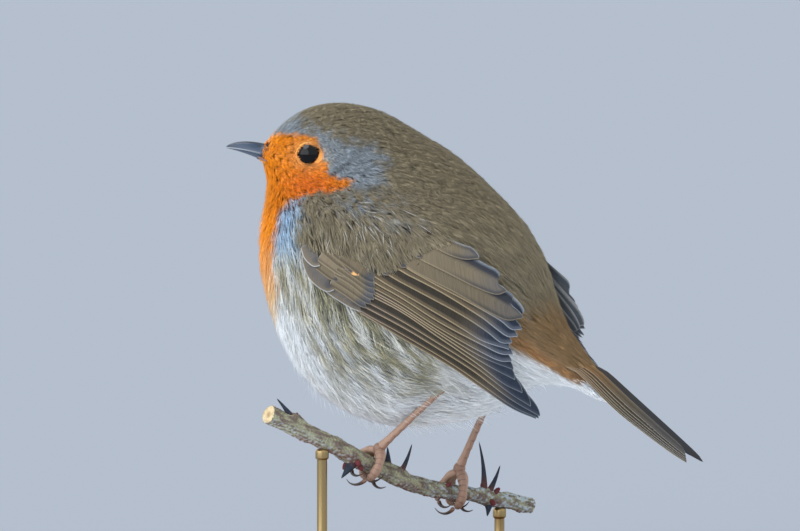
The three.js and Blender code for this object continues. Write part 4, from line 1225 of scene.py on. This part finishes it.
for node_name, eye in EYES.items():
    points, tints = eyeball(*eye)
    ball = closed_piece(f"{node_name}_ball", [points], eye_gloss, [tints])
    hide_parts(node_name)
    lids, tints = eyelids(*eye)
    faces = ring_faces(LID_COLUMNS, 2 * LID_ROWS)
    add_piece(f"{node_name}_lids", lids.reshape(-1, 3), faces, lid_skin, tints.reshape(-1, 3))


# Bill. Two horn sheaths meet at the mouth's edge. The upper one has a ridge, a nostril in a shallow groove
# on each side, and a slight hook.

BILL_ROOT = head_point(15.2, 0, -0.15)
BILL = {"length": 12, "rise": 15.5, "hook": 0.9, "wide": 2.6, "upper": 2.45, "lower": 1.8}
MOUTH_GAP = 0.24
# The corner of the mouth in head frame: forward, up and out of the plumage's form.
GAPE_LINE = [(19.4, -0.1, 0), (18.6, -0.35, 0.3), (17.9, -0.6, 0.3), (17.1, -0.9, 0.1)]
GAPE_RADIUS = 0.45
BILL_RIDGE = linear("#20242b")
BILL_SIDE = linear("#2d3e53")
BILL_EDGE = linear("#6c747d")
GAPE = linear("#7b5745")


def tube(centres, radii, hint, columns):
    """Rings round a path: each is its centre and its radius times cosine of the way to the side, which is the
    path's course crossed with the hint, and sine of the way over."""
    course = unit(np.gradient(centres, axis=0))
    side = unit(np.cross(course, hint))
    over = np.cross(side, course)
    angle = ring_turns(columns)
    around = np.cos(angle)[:, None] * side[:, None] + np.sin(angle)[:, None] * over[:, None]
    return centres[:, None] + np.broadcast_to(radii, (len(centres), columns))[..., None] * around


def mandible(side):
    """One half of the bill and its colours: rings along it whose width narrows as a power of what is left and
    whose rise is the half's depth times the sine of the angle, flat toward the mouth. A hook lowers it by the
    cube of the way, and the upper half has a groove with the nostril in it on each side."""
    rise = np.radians(BILL["rise"])
    rear, right, up = HEAD_AXES
    ahead = -np.cos(rise) * rear + np.sin(rise) * up
    above = np.cross(right, ahead)
    above *= np.sign(above[2])
    t, angle = np.meshgrid(np.linspace(0, 1, 90), ring_turns(64), indexing="ij")
    opened = np.minimum(1, 6 * t)
    width = BILL["wide"] * (1 - t) ** 0.85 * opened
    depth = (BILL["upper"] * (1 - t**2.5) ** 0.6 if side > 0 else BILL["lower"] * (1 - t)) * opened
    bent = np.maximum(side * np.sin(angle), 0)
    keel = bent ** 0.9 if side > 0 else bent
    lift = side * (MOUTH_GAP / 2 + keel * depth) - BILL["hook"] * t**3
    from_nostril = np.hypot((t * BILL["length"] - 4.1) / 1.3, (bent - 0.62) / 0.2)
    groove = 0.12 * np.exp(-(((bent - 0.55) / 0.25) ** 2)) * smooth(t, 0.7, 0.3)
    groove = (side > 0) * (0.3 * np.exp(-(from_nostril**2)) + groove)
    across = np.sign(np.cos(angle)) * np.maximum(width * np.abs(np.cos(angle)) ** 0.9 - groove, 0)
    points = BILL_ROOT + (t * BILL["length"])[..., None] * ahead
    points = points + lift[..., None] * above + across[..., None] * right
    colours = marked(BILL_SIDE, BILL_RIDGE, smooth(bent, 0.7, 0.95))
    pale = 0.6 * smooth(bent, 0.12, 0.02) + 0.3 * (side < 0) * smooth(bent, 0.05, 0.5)
    colours = marked(colours, BILL_EDGE, pale)
    colours = marked(colours, BILL_RIDGE, 0.95 * np.exp(-((from_nostril / 0.55) ** 2)) * (side > 0))
    colours = marked(colours, GAPE, 0.7 * smooth(t, 0.26, 0.12) * smooth(bent, 0.35, 0.05))
    colours = marked(colours, BILL_RIDGE, 0.5 * smooth(t, 0.75, 1))
    return points, colours


def gape_path(side):
    """The corner of the mouth on one side: from the bill's edge back over the plumage, each of its points
    walked in from 6 mm out onto the form."""
    knots = []
    for forward, up, proud in GAPE_LINE:
        out = 6.0
        for _ in range(20):
            out = max(out - (plumage_distance(head_point(forward, side * out, up)) - proud), 1.6)
        knots.append(head_point(forward, side * out, up))
    return through(knots, np.linspace(0, 1, 40))


def gape(side):
    """The soft corner of the mouth: a tube along its path that thins to the rear and closes at both ends."""
    s = np.linspace(0, 1, 40)
    ends = np.minimum(1, 20 * (1 - s) + 0.02) * np.minimum(1, 20 * s + 0.02)
    grid = tube(gape_path(side), (GAPE_RADIUS * (1 - 0.6 * s) * ends)[:, None], HEAD_AXES[2], 16)
    return grid, marked(BILL_SIDE, GAPE, smooth(s, 0, 0.35)[:, None] * np.ones(16))


def noise(tree, per_mm, detail, roughness=0.5):
    """Noise fixed to the piece, with so many grains to the millimetre."""
    place = node(tree, "ShaderNodeTexCoord", {})
    settings = {"Scale": 1000 * per_mm, "Detail": detail, "Roughness": roughness}
    return node(tree, "ShaderNodeTexNoise", settings, [(place.outputs["Object"], "Vector")])


# Bird's horn, polished by use: a soft gloss over growth lines 0.2 mm apart, drawn at 0.4.
horn, tree, shader = tinted_material("bill_horn", 0.3, 0.5)
raised_by(tree, shader, noise(tree, 2.5, 3), 0.25, 0.05)

for node_name, side in (("bill_upper", 1), ("bill_lower", -1)):
    points, colours = mandible(side)
    sheath = closed_piece(f"{node_name}_sheath", [points], horn, [colours], angle=60)
    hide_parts(node_name)
grids, colours = zip(*(gape(side) for side in (-1, 1)))
closed_piece("bill_gape", grids, horn, colours, angle=60)


# Perch. A hawthorn twig, cut at both ends, with furrowed bark, knots where side shoots grew, and thorns.
# Lichen grows on its thinner half, and the stand's rods end under it.

# Each thorn: its place along and round the twig, its lean along it, its length and its radius at the bark.
THORNS = [
    (-25, -12, -8.5, 5, 1), (3.4, 8, -1.5, 4.5, 1.2), (7, -12, -0.4, 6.8, 0.8), (-6.5, -160, -3, 3.5, 1.7),
    (33, -8, -5.5, 12, 0.9), (34, -20, 0.4, 6.5, 0.9), (34.5, -150, -1.5, 3, 1.4),
]
# Each knot: its place along and round the twig, and how strongly it swells.
KNOTS = [
    (-25, -12, 1.1), (3.4, 8, 1.0), (7, -12, 0.9), (-6.5, -160, 1.3), (33, -8, 1.3), (34.5, -150, 1.2),
    (-16, 100, 0.7), (14, 120, 0.8), (20, -60, 0.7), (41, 40, 0.8), (-2, -70, 0.6),
]
KNOT_RISE = 0.55
KNOT_REACH = (2.2, 1.8)  # along and round the twig
BARK_ROWS = 420
BARK_COLUMNS = 72
BARK_OLIVE = linear("#97967b")
BARK_BROWN = linear("#71655a")
BARK_RED = linear("#6b443c")
LICHEN = linear("#aebcc2")
CUT_WOOD = linear("#c9b48c")
PITH = linear("#8d6f4c")


def perch_bark():
    """The twig and its colours: rings along its line, whose radius swells at knots, is furrowed lengthwise by
    stretched noise, and closes in a flat cut at each end, over the first and last three rings."""
    cut_rings = [0, 0.5, 0.93]
    share = np.concatenate([[0, 0, 0], np.linspace(0, 1, BARK_ROWS - 6), [1, 1, 1]])
    inward = np.concatenate([cut_rings, np.ones(BARK_ROWS - 6), cut_rings[::-1]])
    centre, course = perch_row(share * LAST_ROW)
    station = np.interp(share * LAST_ROW, np.arange(LAST_ROW + 1), PERCH_RUN)
    angle = ring_turns(BARK_COLUMNS)
    flat = np.ones((BARK_ROWS, BARK_COLUMNS))
    front = unit(np.cross([0, 0, 1], course))
    top = np.cross(course, front)
    out = np.cos(angle)[:, None] * top[:, None] + np.sin(angle)[:, None] * front[:, None]
    radius = mix(*PERCH_RADII, share)[:, None] * flat
    mean_radius = np.mean(PERCH_RADII)
    for at_station, turn, swell in KNOTS:
        along = (station[:, None] - at_station) / KNOT_REACH[0]
        round_by = np.angle(np.exp(1j * (angle - np.radians(turn)))) * mean_radius / KNOT_REACH[1]
        radius = radius + KNOT_RISE * swell * np.exp(-(along**2) - round_by**2)
    ring = mean_radius * np.stack([np.cos(angle), np.sin(angle)], -1)
    local = np.concatenate([(station[:, None] / 5 * flat)[..., None], ring * flat[..., None]], -1)
    furrows = patchy(local, 0.5, 3)
    lumps = patchy(local * [3, 1, 1], 2.6, 4)
    speckle = patchy(local * [5, 1, 1], 0.35, 5)
    radius = radius - 0.28 + 0.1 * furrows + 0.2 * lumps + 0.05 * speckle
    points = centre[:, None] + (radius * inward[:, None])[..., None] * out
    colours = marked(BARK_OLIVE, BARK_BROWN, 0.5 + 0.7 * furrows)
    under = smooth(np.cos(angle), 0.2, -0.7) * flat
    colours = marked(colours, BARK_RED, 0.6 * under * smooth(lumps, 0.1, 0.7))
    scurf = smooth(patchy(local * [5, 1, 1], 0.45, 7), 0.0, 0.6)
    colours = marked(colours, LICHEN, 0.4 * under * scurf)
    scabs = smooth(patchy(local * [5, 1, 1], 0.9, 6), 0.1, 0.7)
    colours = marked(colours, LICHEN, scabs * smooth(station, 4, 26)[:, None] * 0.75)
    colours = colours * (1 + 0.14 * speckle[..., None])
    colours = marked(colours, CUT_WOOD, (1 - smooth(inward, 0.9, 0.99))[:, None] * flat)
    colours = marked(colours, PITH, (inward < 0.3)[:, None] * flat)
    return points, colours


# Thin dry bark: dull and finely cracked, with grit 0.2 mm across, drawn at nearly three times that.
bark, tree, shader = tinted_material("hawthorn_bark", 0.88, 0.2)
grit = noise(tree, 1.8, 6, 0.65)
toned_by(tree, shader, grit, 0.7, 1.25)
raised_by(tree, shader, grit, 0.6, 0.15)

points, colours = perch_bark()
twig = closed_piece("perch_twig", [points], bark, [colours], angle=60)
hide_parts("perch")

THORN_TIP = linear("#343a45")
BUD_RED = linear("#6a3338")


def thorn(station, turn, lean, length, radius):
    """A thorn and its colours: a cone from under the bark to its point, bent a little by half a sine wave,
    which thins faster near its base."""
    s = np.linspace(0, 1, 30)
    root = around_perch(station, turn, np.float64(-1.2))
    tip = around_perch(station, turn, np.float64(length)) + PERCH_AHEAD * lean
    _, course, _ = perch_at(station)
    path = root + s[:, None] * (tip - root) + (0.05 * length * np.sin(np.pi * s))[:, None] * course
    ends = np.minimum(1, 12 * (1 - s) + 0.02) * np.minimum(1, 0.3 + 10 * s)
    thick = mix(radius * 1.15, 0.12, s**0.7) * ends
    tints = marked(BARK_RED, THORN_TIP, smooth(s, 0.05, 0.45)[:, None] * np.ones(20))
    return tube(path, thick[:, None], course, 20), tints


grids, colours = zip(*(thorn(*row) for row in THORNS))
closed_piece("perch_thorns", grids, bark, colours)

# Buds sit in twos and threes at the thorns' feet: station, turn, lean and size of each.
BUDS = [
    (3.2, 40, -0.6, 1.0), (3.9, 62, 0.3, 1.15), (2.6, 80, -0.4, 0.9), (-6.2, -120, -0.6, 1.2),
    (-5.2, -140, 0.5, 1.0), (-7.4, 178, -0.4, 1.15), (-24.2, 18, 0.4, 0.9), (33.6, 22, -0.5, 1.1),
    (35.4, -40, 0.4, 1.0), (34.2, -115, 0, 1.1), (7.6, 22, 0.5, 0.9), (-15.8, 104, -0.3, 0.8),
    (20.4, -56, 0.3, 0.8),
]


def bud(station, turn, lean, size):
    """A bud and its colours: an egg 2 mm long, with the overlapping scales as a spiral wave on it."""
    s = np.linspace(0, 1, 20)
    foot = around_perch(station, turn, np.float64(-0.35))
    out = unit(around_perch(station, turn, np.float64(1)) - foot)
    axis = unit(out + 0.6 * lean * PERCH_AHEAD)
    path = foot + (1.9 * size * s)[:, None] * axis
    scales = 0.07 * np.abs(np.sin(1.5 * ring_turns(20) + 9 * s[:, None]))
    egg = np.sqrt(np.clip(np.sin(np.pi * (0.12 + 0.88 * s) ** 0.8), 0, 1))
    thick = 0.6 * size * egg[:, None] * (1 + scales)
    tints = marked(BARK_RED, BUD_RED, smooth(s, 0.2, 0.7)[:, None] * np.ones(20))
    return tube(path, thick, PERCH_AHEAD + [0.3, 0, 0.2], 20), tints


grids, colours = zip(*(bud(*row) for row in BUDS))
closed_piece("perch_buds", grids, bark, colours)


# Legs and feet. Thin shanks and toes in a scaly skin, with a pad under each joint, and claws of dark horn.
# Three toes of each foot grip the twig from the front and one from behind.

SHANK_RADII = ((0, 1.15), (0.16, 0.86), (0.5, 0.8), (0.85, 0.88), (1, 1.25))  # from the ankle to the foot
# Each toe: how far round the twig its last joint is, how far along the twig it is splayed, and its radius.
TOES = {
    "inner": (140, 3.6, 0.8),
    "middle": (165, 1.3, 0.85),
    "outer": (148, -3, 0.75),
    "hind": (-146, -0.9, 1.12),
}
CLAW_TURN = 84
CLAW_LIFT = 2.3
CLAW_RADIUS = 0.52
UPRIGHT_HINT = (1.0, 0.2, 0.3)
LEG_BROWN = linear("#8d6d5b")
LEG_PINK = linear("#a88873")
LEG_DARK = linear("#4a3a34")
CLAW_HORN = linear("#3d332e")


def toe_path(leg, spread, radius, start, end, rise):
    """A toe's line round the twig from one turn and share to another: six points clear of the bark."""
    f = np.linspace(0, 1, 6)
    share = mix(start[1], end[1], f)
    clear = FOOT_GAP + radius + leg["lift"] * np.maximum(0, 1 - 1.6 * share) ** 2 + rise * f
    return around_perch(leg["along"] + spread * share, mix(start[0], end[0], f), clear)


def scaled(grid, centres, pitch, depth):
    """A limb's rings with scutes: across its upper half the surface steps out by a depth every pitch, as
    overlapping plates do, and its lower half is finely pimpled."""
    angle = ring_turns(grid.shape[1])
    run = np.concatenate([[0], np.cumsum(np.linalg.norm(np.diff(centres, axis=0), axis=1))])
    step = np.mod(run / pitch, 1)
    upper = smooth(np.sin(angle), -0.15, 0.25)
    plates = (step**1.5 - 0.5)[:, None] * upper
    pimples = 0.5 * np.sin(run[:, None] * 9) * np.sin(9 * angle) * (1 - upper)
    out = unit(grid - centres[:, None])
    return grid + (depth * (plates + pimples))[..., None] * out, step[:, None] * upper, upper


def scaly_colours(step, upper, s):
    """Skin tints: pinkish below, brown plates with dark seams above, darker toward the toe's tip."""
    flat = np.ones(step.shape)
    colours = marked(LEG_PINK, LEG_BROWN, 0.75 * upper * flat)
    colours = marked(colours, LEG_DARK, 0.65 * np.exp(-(((step - 0.03) / 0.08) ** 2)) * upper)
    return marked(colours, LEG_DARK, 0.35 * smooth(s, 0.6, 1)[:, None] * flat)


def shank(leg):
    """A shank and its colours: a scaled tube straight from ankle to foot, closed at its very ends."""
    s = np.linspace(0, 1, 130)
    ankle = np.array(leg["ankle"], float)
    centres = ankle + s[:, None] * (foot_ball(leg) - ankle)
    thick = np.interp(s, *zip(*SHANK_RADII)) * (1 - np.abs(2 * s - 1) ** 30 * 0.98)
    grid = tube(centres, thick[:, None], UPRIGHT_HINT, 28)
    grid, step, upper = scaled(grid, centres, 2.3, 0.14)
    return grid, scaly_colours(step, upper, 0 * s)


def toe(leg, name):
    """A toe and its colours: a scaled tube round the twig that thins to its tip, with a pad at each joint."""
    turn, spread, radius = TOES[name]
    loose = 1.5 * (name == "hind")
    s = np.linspace(0, 1, 90)
    centres = through(toe_path(leg, spread, radius, (leg["turn"], 0), (turn, 1), loose), s)
    joints = 2 if name == "hind" else 3
    pads = 0.1 * np.cos(2 * np.pi * joints * s + np.pi)
    thick = radius * (1.15 - 0.3 * s) * (1 + pads) * (1 - np.abs(2 * s - 1) ** 16 * 0.97)
    _, course, _ = perch_at(leg["along"])
    grid = tube(centres, thick[:, None], course * np.sign(turn), 24)
    grid, step, upper = scaled(grid, centres, 1.25, 0.11)
    return grid, scaly_colours(step, upper, s)


def claw(leg, name):
    """A claw and its colours: a horn that goes on round the twig from the toe's tip and leaves the bark."""
    turn, spread, _ = TOES[name]
    sign = np.sign(turn)
    clear = CLAW_RADIUS + 1.5 * (name == "hind")
    knots = toe_path(leg, spread, clear, (turn + sign * 4, 1), (turn + sign * CLAW_TURN, 1.1), CLAW_LIFT)
    s = np.linspace(0, 1, 40)
    ends = np.minimum(1, 0.2 + 10 * s) * np.minimum(1, 25 * (1 - s) + 0.02)
    thick = mix(CLAW_RADIUS * 1.15, 0.06, s**0.9) * ends
    _, course, _ = perch_at(leg["along"])
    grid = tube(through(knots, s), thick[:, None], course * sign, 20)
    return grid, marked(CLAW_HORN, LEG_BROWN, smooth(s, 0.3, 0)[:, None] * np.ones(20))


def pad(leg):
    """The pad under a foot and its colours: a ball, as rings whose radius is the sine of the way down it."""
    polar = np.pi * np.linspace(0, 1, 90)
    centres = foot_ball(leg) - (PAD_RADIUS * np.cos(polar))[:, None] * np.array([0, 0, 1.0])
    grid = tube(centres, (PAD_RADIUS * np.sin(polar) + 0.01)[:, None], UPRIGHT_HINT, 24)
    return grid, np.broadcast_to(LEG_BROWN, grid.shape)


# Horny scales over skin: they have a low, broken shine, and pores 0.3 mm apart between them.
leg_skin, tree, shader = tinted_material("scaly_leg_skin", 0.5, 0.45)
raised_by(tree, shader, noise(tree, 3.5, 2), 0.3, 0.06)

for word, leg in LEGS.items():
    grid, colours = shank(leg)
    tarsus = closed_piece(f"shank_{word}", [grid], leg_skin, [colours])
    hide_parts(f"tarsus_{word}")
    grids, colours = zip(*(toe(leg, name) for name in TOES), pad(leg))
    foot = closed_piece(f"toes_{word}", grids, leg_skin, colours)
    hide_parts(f"foot_{word}")
    grids, colours = zip(*(claw(leg, name) for name in TOES))
    nails = closed_piece(f"claws_{word}", grids, horn, colours)
    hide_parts(*(f"claw_{word}_{toe_name}" for toe_name in TOES))


# Stand. A turned wooden foot carries the twig on two brass rods, each set in a collar and ending in a cap
# under the bark.

BASE_LOW, BASE_HIGH = solid_box("stand_base")
BASE_MIDDLE = (BASE_LOW + BASE_HIGH) / 2
ALMOST_0 = 0.01  # the radius of the first and last rings, which close in a pole


def lathe(profile, middle, columns):
    """A turned piece: rings of the profile's radii and heights about an upright line."""
    angle = ring_turns(columns)
    radius, height = profile.T
    spun = np.stack([np.cos(angle), np.sin(angle), 0 * angle], -1)
    return np.array(middle) + radius[:, None, None] * spun + height[:, None, None] * np.array([0, 0, 1.0])


def rounded(corners, steps, softness):
    """A profile's corners joined by straight lines and each rounded by a parabola of this reach."""
    corners = np.array(corners, float)
    run = [corners[0]]
    for before, at, after in zip(corners, corners[1:], corners[2:]):
        reach = lambda other: at + (other - at) * min(0.45, softness / np.linalg.norm(other - at))
        s = np.linspace(0, 1, steps)[:, None]
        run += list((1 - s) ** 2 * reach(before) + 2 * s * (1 - s) * at + s**2 * reach(after))
    return np.array(run + [corners[-1]])


# Turned and waxed walnut: long brown grain lines 2.5 mm apart that waver a little, and a dull gloss.
turned_wood, tree, shader = new_material("waxed_walnut")
place = node(tree, "ShaderNodeTexCoord", {})
stretched = node(tree, "ShaderNodeMapping", {"Scale": (1, 9, 6)}, [(place.outputs["Object"], "Vector")])
warp = node(tree, "ShaderNodeTexNoise", {"Scale": 25.0, "Detail": 3}, [(place.outputs["Object"], "Vector")])
mixed = node(tree, "ShaderNodeVectorMath", {"operation": "SCALE", "Scale": 0.05},
             [(warp.outputs["Color"], "Vector")])
bent = node(tree, "ShaderNodeVectorMath", {"operation": "ADD"},
            [(stretched.outputs["Vector"], "Vector"), (mixed.outputs["Vector"], 1)])
rings = node(tree, "ShaderNodeTexNoise", {"Scale": 45.0, "Detail": 5, "Roughness": 0.6},
             [(bent.outputs["Vector"], "Vector")])
grain = node(tree, "ShaderNodeValToRGB", {}, [(rings.outputs["Fac"], "Fac")])
for element, position, colour in zip(grain.color_ramp.elements, (0.36, 0.62), ("#5b3a22", "#8a5d38")):
    element.position = position
    element.color = (*linear(colour), 1)
tree.links.new(grain.outputs["Color"], shader.inputs["Base Color"])
raised_by(tree, shader, rings, 0.15, 0.1)
shader.inputs["Roughness"].default_value = 0.5
shader.inputs["Specular IOR Level"].default_value = 0.25

r = (BASE_HIGH - BASE_LOW)[0] / 2
h = (BASE_HIGH - BASE_LOW)[2]
foot_profile = [
    (ALMOST_0, 0), (r - 0.9, 0), (r, 0.8), (r, 2.2), (r - 0.8, 2.7), (r - 0.8, 3.0), (r - 0.2, 3.6),
    (r - 1.2, 5.6), (r - 3.4, h - 0.7), (r - 3.9, h - 0.7), (r - 4.6, h), (8, h), (ALMOST_0, h),
]
disc = lathe(rounded(foot_profile, 7, 0.5), BASE_MIDDLE - [0, 0, h / 2], 160)
turned = closed_piece("stand_turned_foot", [disc], turned_wood, angle=30)
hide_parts("stand_base")

# Drawn brass: a warm, half-dull metal with fine lines along the rod, 0.17 mm apart, that the die left.
brass, tree, shader = new_material("drawn_brass")
place = node(tree, "ShaderNodeTexCoord", {})
drawn = node(tree, "ShaderNodeMapping", {"Scale": (1, 1, 0.02)}, [(place.outputs["Object"], "Vector")])
lines = node(tree, "ShaderNodeTexNoise", {"Scale": 6000.0, "Detail": 2},
             [(drawn.outputs["Vector"], "Vector")])
worn = node(tree, "ShaderNodeMapRange", {"To Min": 0.2, "To Max": 0.42}, [(lines.outputs["Fac"], "Value")])
tree.links.new(worn.outputs["Result"], shader.inputs["Roughness"])
shader.inputs["Base Color"].default_value = (*linear("#b39a6b"), 1)
shader.inputs["Metallic"].default_value = 1.0

for number in (1, 2):
    low, high = solid_box(f"stand_rod_{number}")
    r, top = (high - low)[0] / 2, (high - low)[2]
    deck = BASE_HIGH[2] - low[2]
    rod_profile = [
        (ALMOST_0, 0), (r, 0.05), (r, deck - 0.2), (3.0, deck - 0.1), (3.0, deck + 0.8), (2.2, deck + 1.2),
        (2.2, deck + 2.4), (1.7, deck + 2.9), (r, deck + 3.1), (r, top - 2.6), (1.6, top - 2.4),
        (1.6, top - 0.6), (r, top - 0.1), (ALMOST_0, top),
    ]
    rod = lathe(rounded(rod_profile, 5, 0.25), [*((low + high) / 2)[:2], low[2]], 48)
    rod = closed_piece(f"stand_brass_rod_{number}", [rod], brass, angle=40)
    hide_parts(f"stand_rod_{number}")


# Stage. A pale floor under soft, cool light from above and ahead, and a long lens, 2.5 m away and nearly
# level with the bird.

# Matt paint, which takes soft shadows and gives no reflection.
floor_material, tree, shader = new_material("painted_floor")
shader.inputs["Base Color"].default_value = (*linear("#999fa7"), 1)
shader.inputs["Roughness"].default_value = 1.0
shader.inputs["Specular IOR Level"].default_value = 0.0
FLOOR_HALF = 40.0  # metres
corners = [(x * FLOOR_HALF, y * FLOOR_HALF, 0) for x, y in ((-1, -1), (1, -1), (1, 1), (-1, 1))]
floor_mesh = bpy.data.meshes.new("floor")
floor_mesh.from_pydata(corners, [], [(0, 1, 2, 3)])
floor_mesh.materials.append(floor_material)
floor = bpy.data.objects.new("floor", floor_mesh)
bpy.context.scene.collection.objects.link(floor)

world = bpy.data.worlds.new("overcast")
world.use_nodes = True
world.node_tree.nodes["Background"].inputs["Color"].default_value = (*linear("#eef3fa"), 1)
world.node_tree.nodes["Background"].inputs["Strength"].default_value = 0.98
bpy.context.scene.world = world

azimuth, elevation = np.radians(26), np.radians(3)
VIEW_RIGHT = np.array([np.cos(azimuth), np.sin(azimuth), 0])
level = np.array([-np.sin(azimuth), np.cos(azimuth), 0])
VIEW_AHEAD = np.cos(elevation) * level - np.sin(elevation) * np.array([0, 0, 1])
VIEW_UP = np.cross(VIEW_RIGHT, VIEW_AHEAD)
DISTANCE = 2500.0
FRAME_WIDTH = 800 / 4.2  # the frame is 800 wide, at 4.2 to the millimetre
SENSOR_WIDTH = 36
aim = -4.76 * VIEW_RIGHT + 8.21 * VIEW_UP + TRUNK_MIDDLE


def place_in_scene(thing, at, right, up):
    """Set an object's place, in millimetres, and turn it so that its X is right and its Y is up."""
    turned = np.eye(4)
    turned[:3, :3] = np.stack([right, up, np.cross(right, up)], 1)
    turned[:3, 3] = at / 1000
    thing.matrix_world = Matrix(turned.tolist())
    bpy.context.scene.collection.objects.link(thing)


lens = bpy.data.cameras.new("camera")
lens.sensor_width = SENSOR_WIDTH
lens.lens = SENSOR_WIDTH * DISTANCE / FRAME_WIDTH
lens.clip_end = 200
camera = bpy.data.objects.new("camera", lens)
place_in_scene(camera, aim - VIEW_AHEAD * DISTANCE, VIEW_RIGHT, VIEW_UP)
bpy.context.scene.camera = camera

# Two broad soft lights, the bright part of the sky and low light from ahead: where each comes from, its
# strength, and its width in degrees. A white sheet glows on the ground as snow does.
LAMPS = {"sky": ((-0.5, -0.7, 1.6), 1.8, 40), "ahead": ((-0.35, -1.0, 0.2), 1.9, 70)}
for name, (toward, energy, width) in LAMPS.items():
    lamp = bpy.data.lights.new(name, "SUN")
    lamp.energy = energy
    lamp.angle = np.radians(width)
    lamp.color = linear("#f8faff")
    back = unit(np.array(toward))
    right = unit(np.cross([0, 0, 1], back))
    place_in_scene(bpy.data.objects.new(name, lamp), TRUNK_MIDDLE + back * 1000, right, np.cross(back, right))
sheet = bpy.data.lights.new("snow", "AREA")
sheet.size = 0.6
sheet.energy = 1.3
sheet.color = linear("#eef5ff")
snow = bpy.data.objects.new("snow", sheet)
snow.visible_camera = False
snow.visible_glossy = False
place_in_scene(snow, np.array([0, -120, 1.0]), np.array([1, 0, 0]), np.array([0, -1, 0]))
bpy.context.scene.view_settings.view_transform = "Standard"
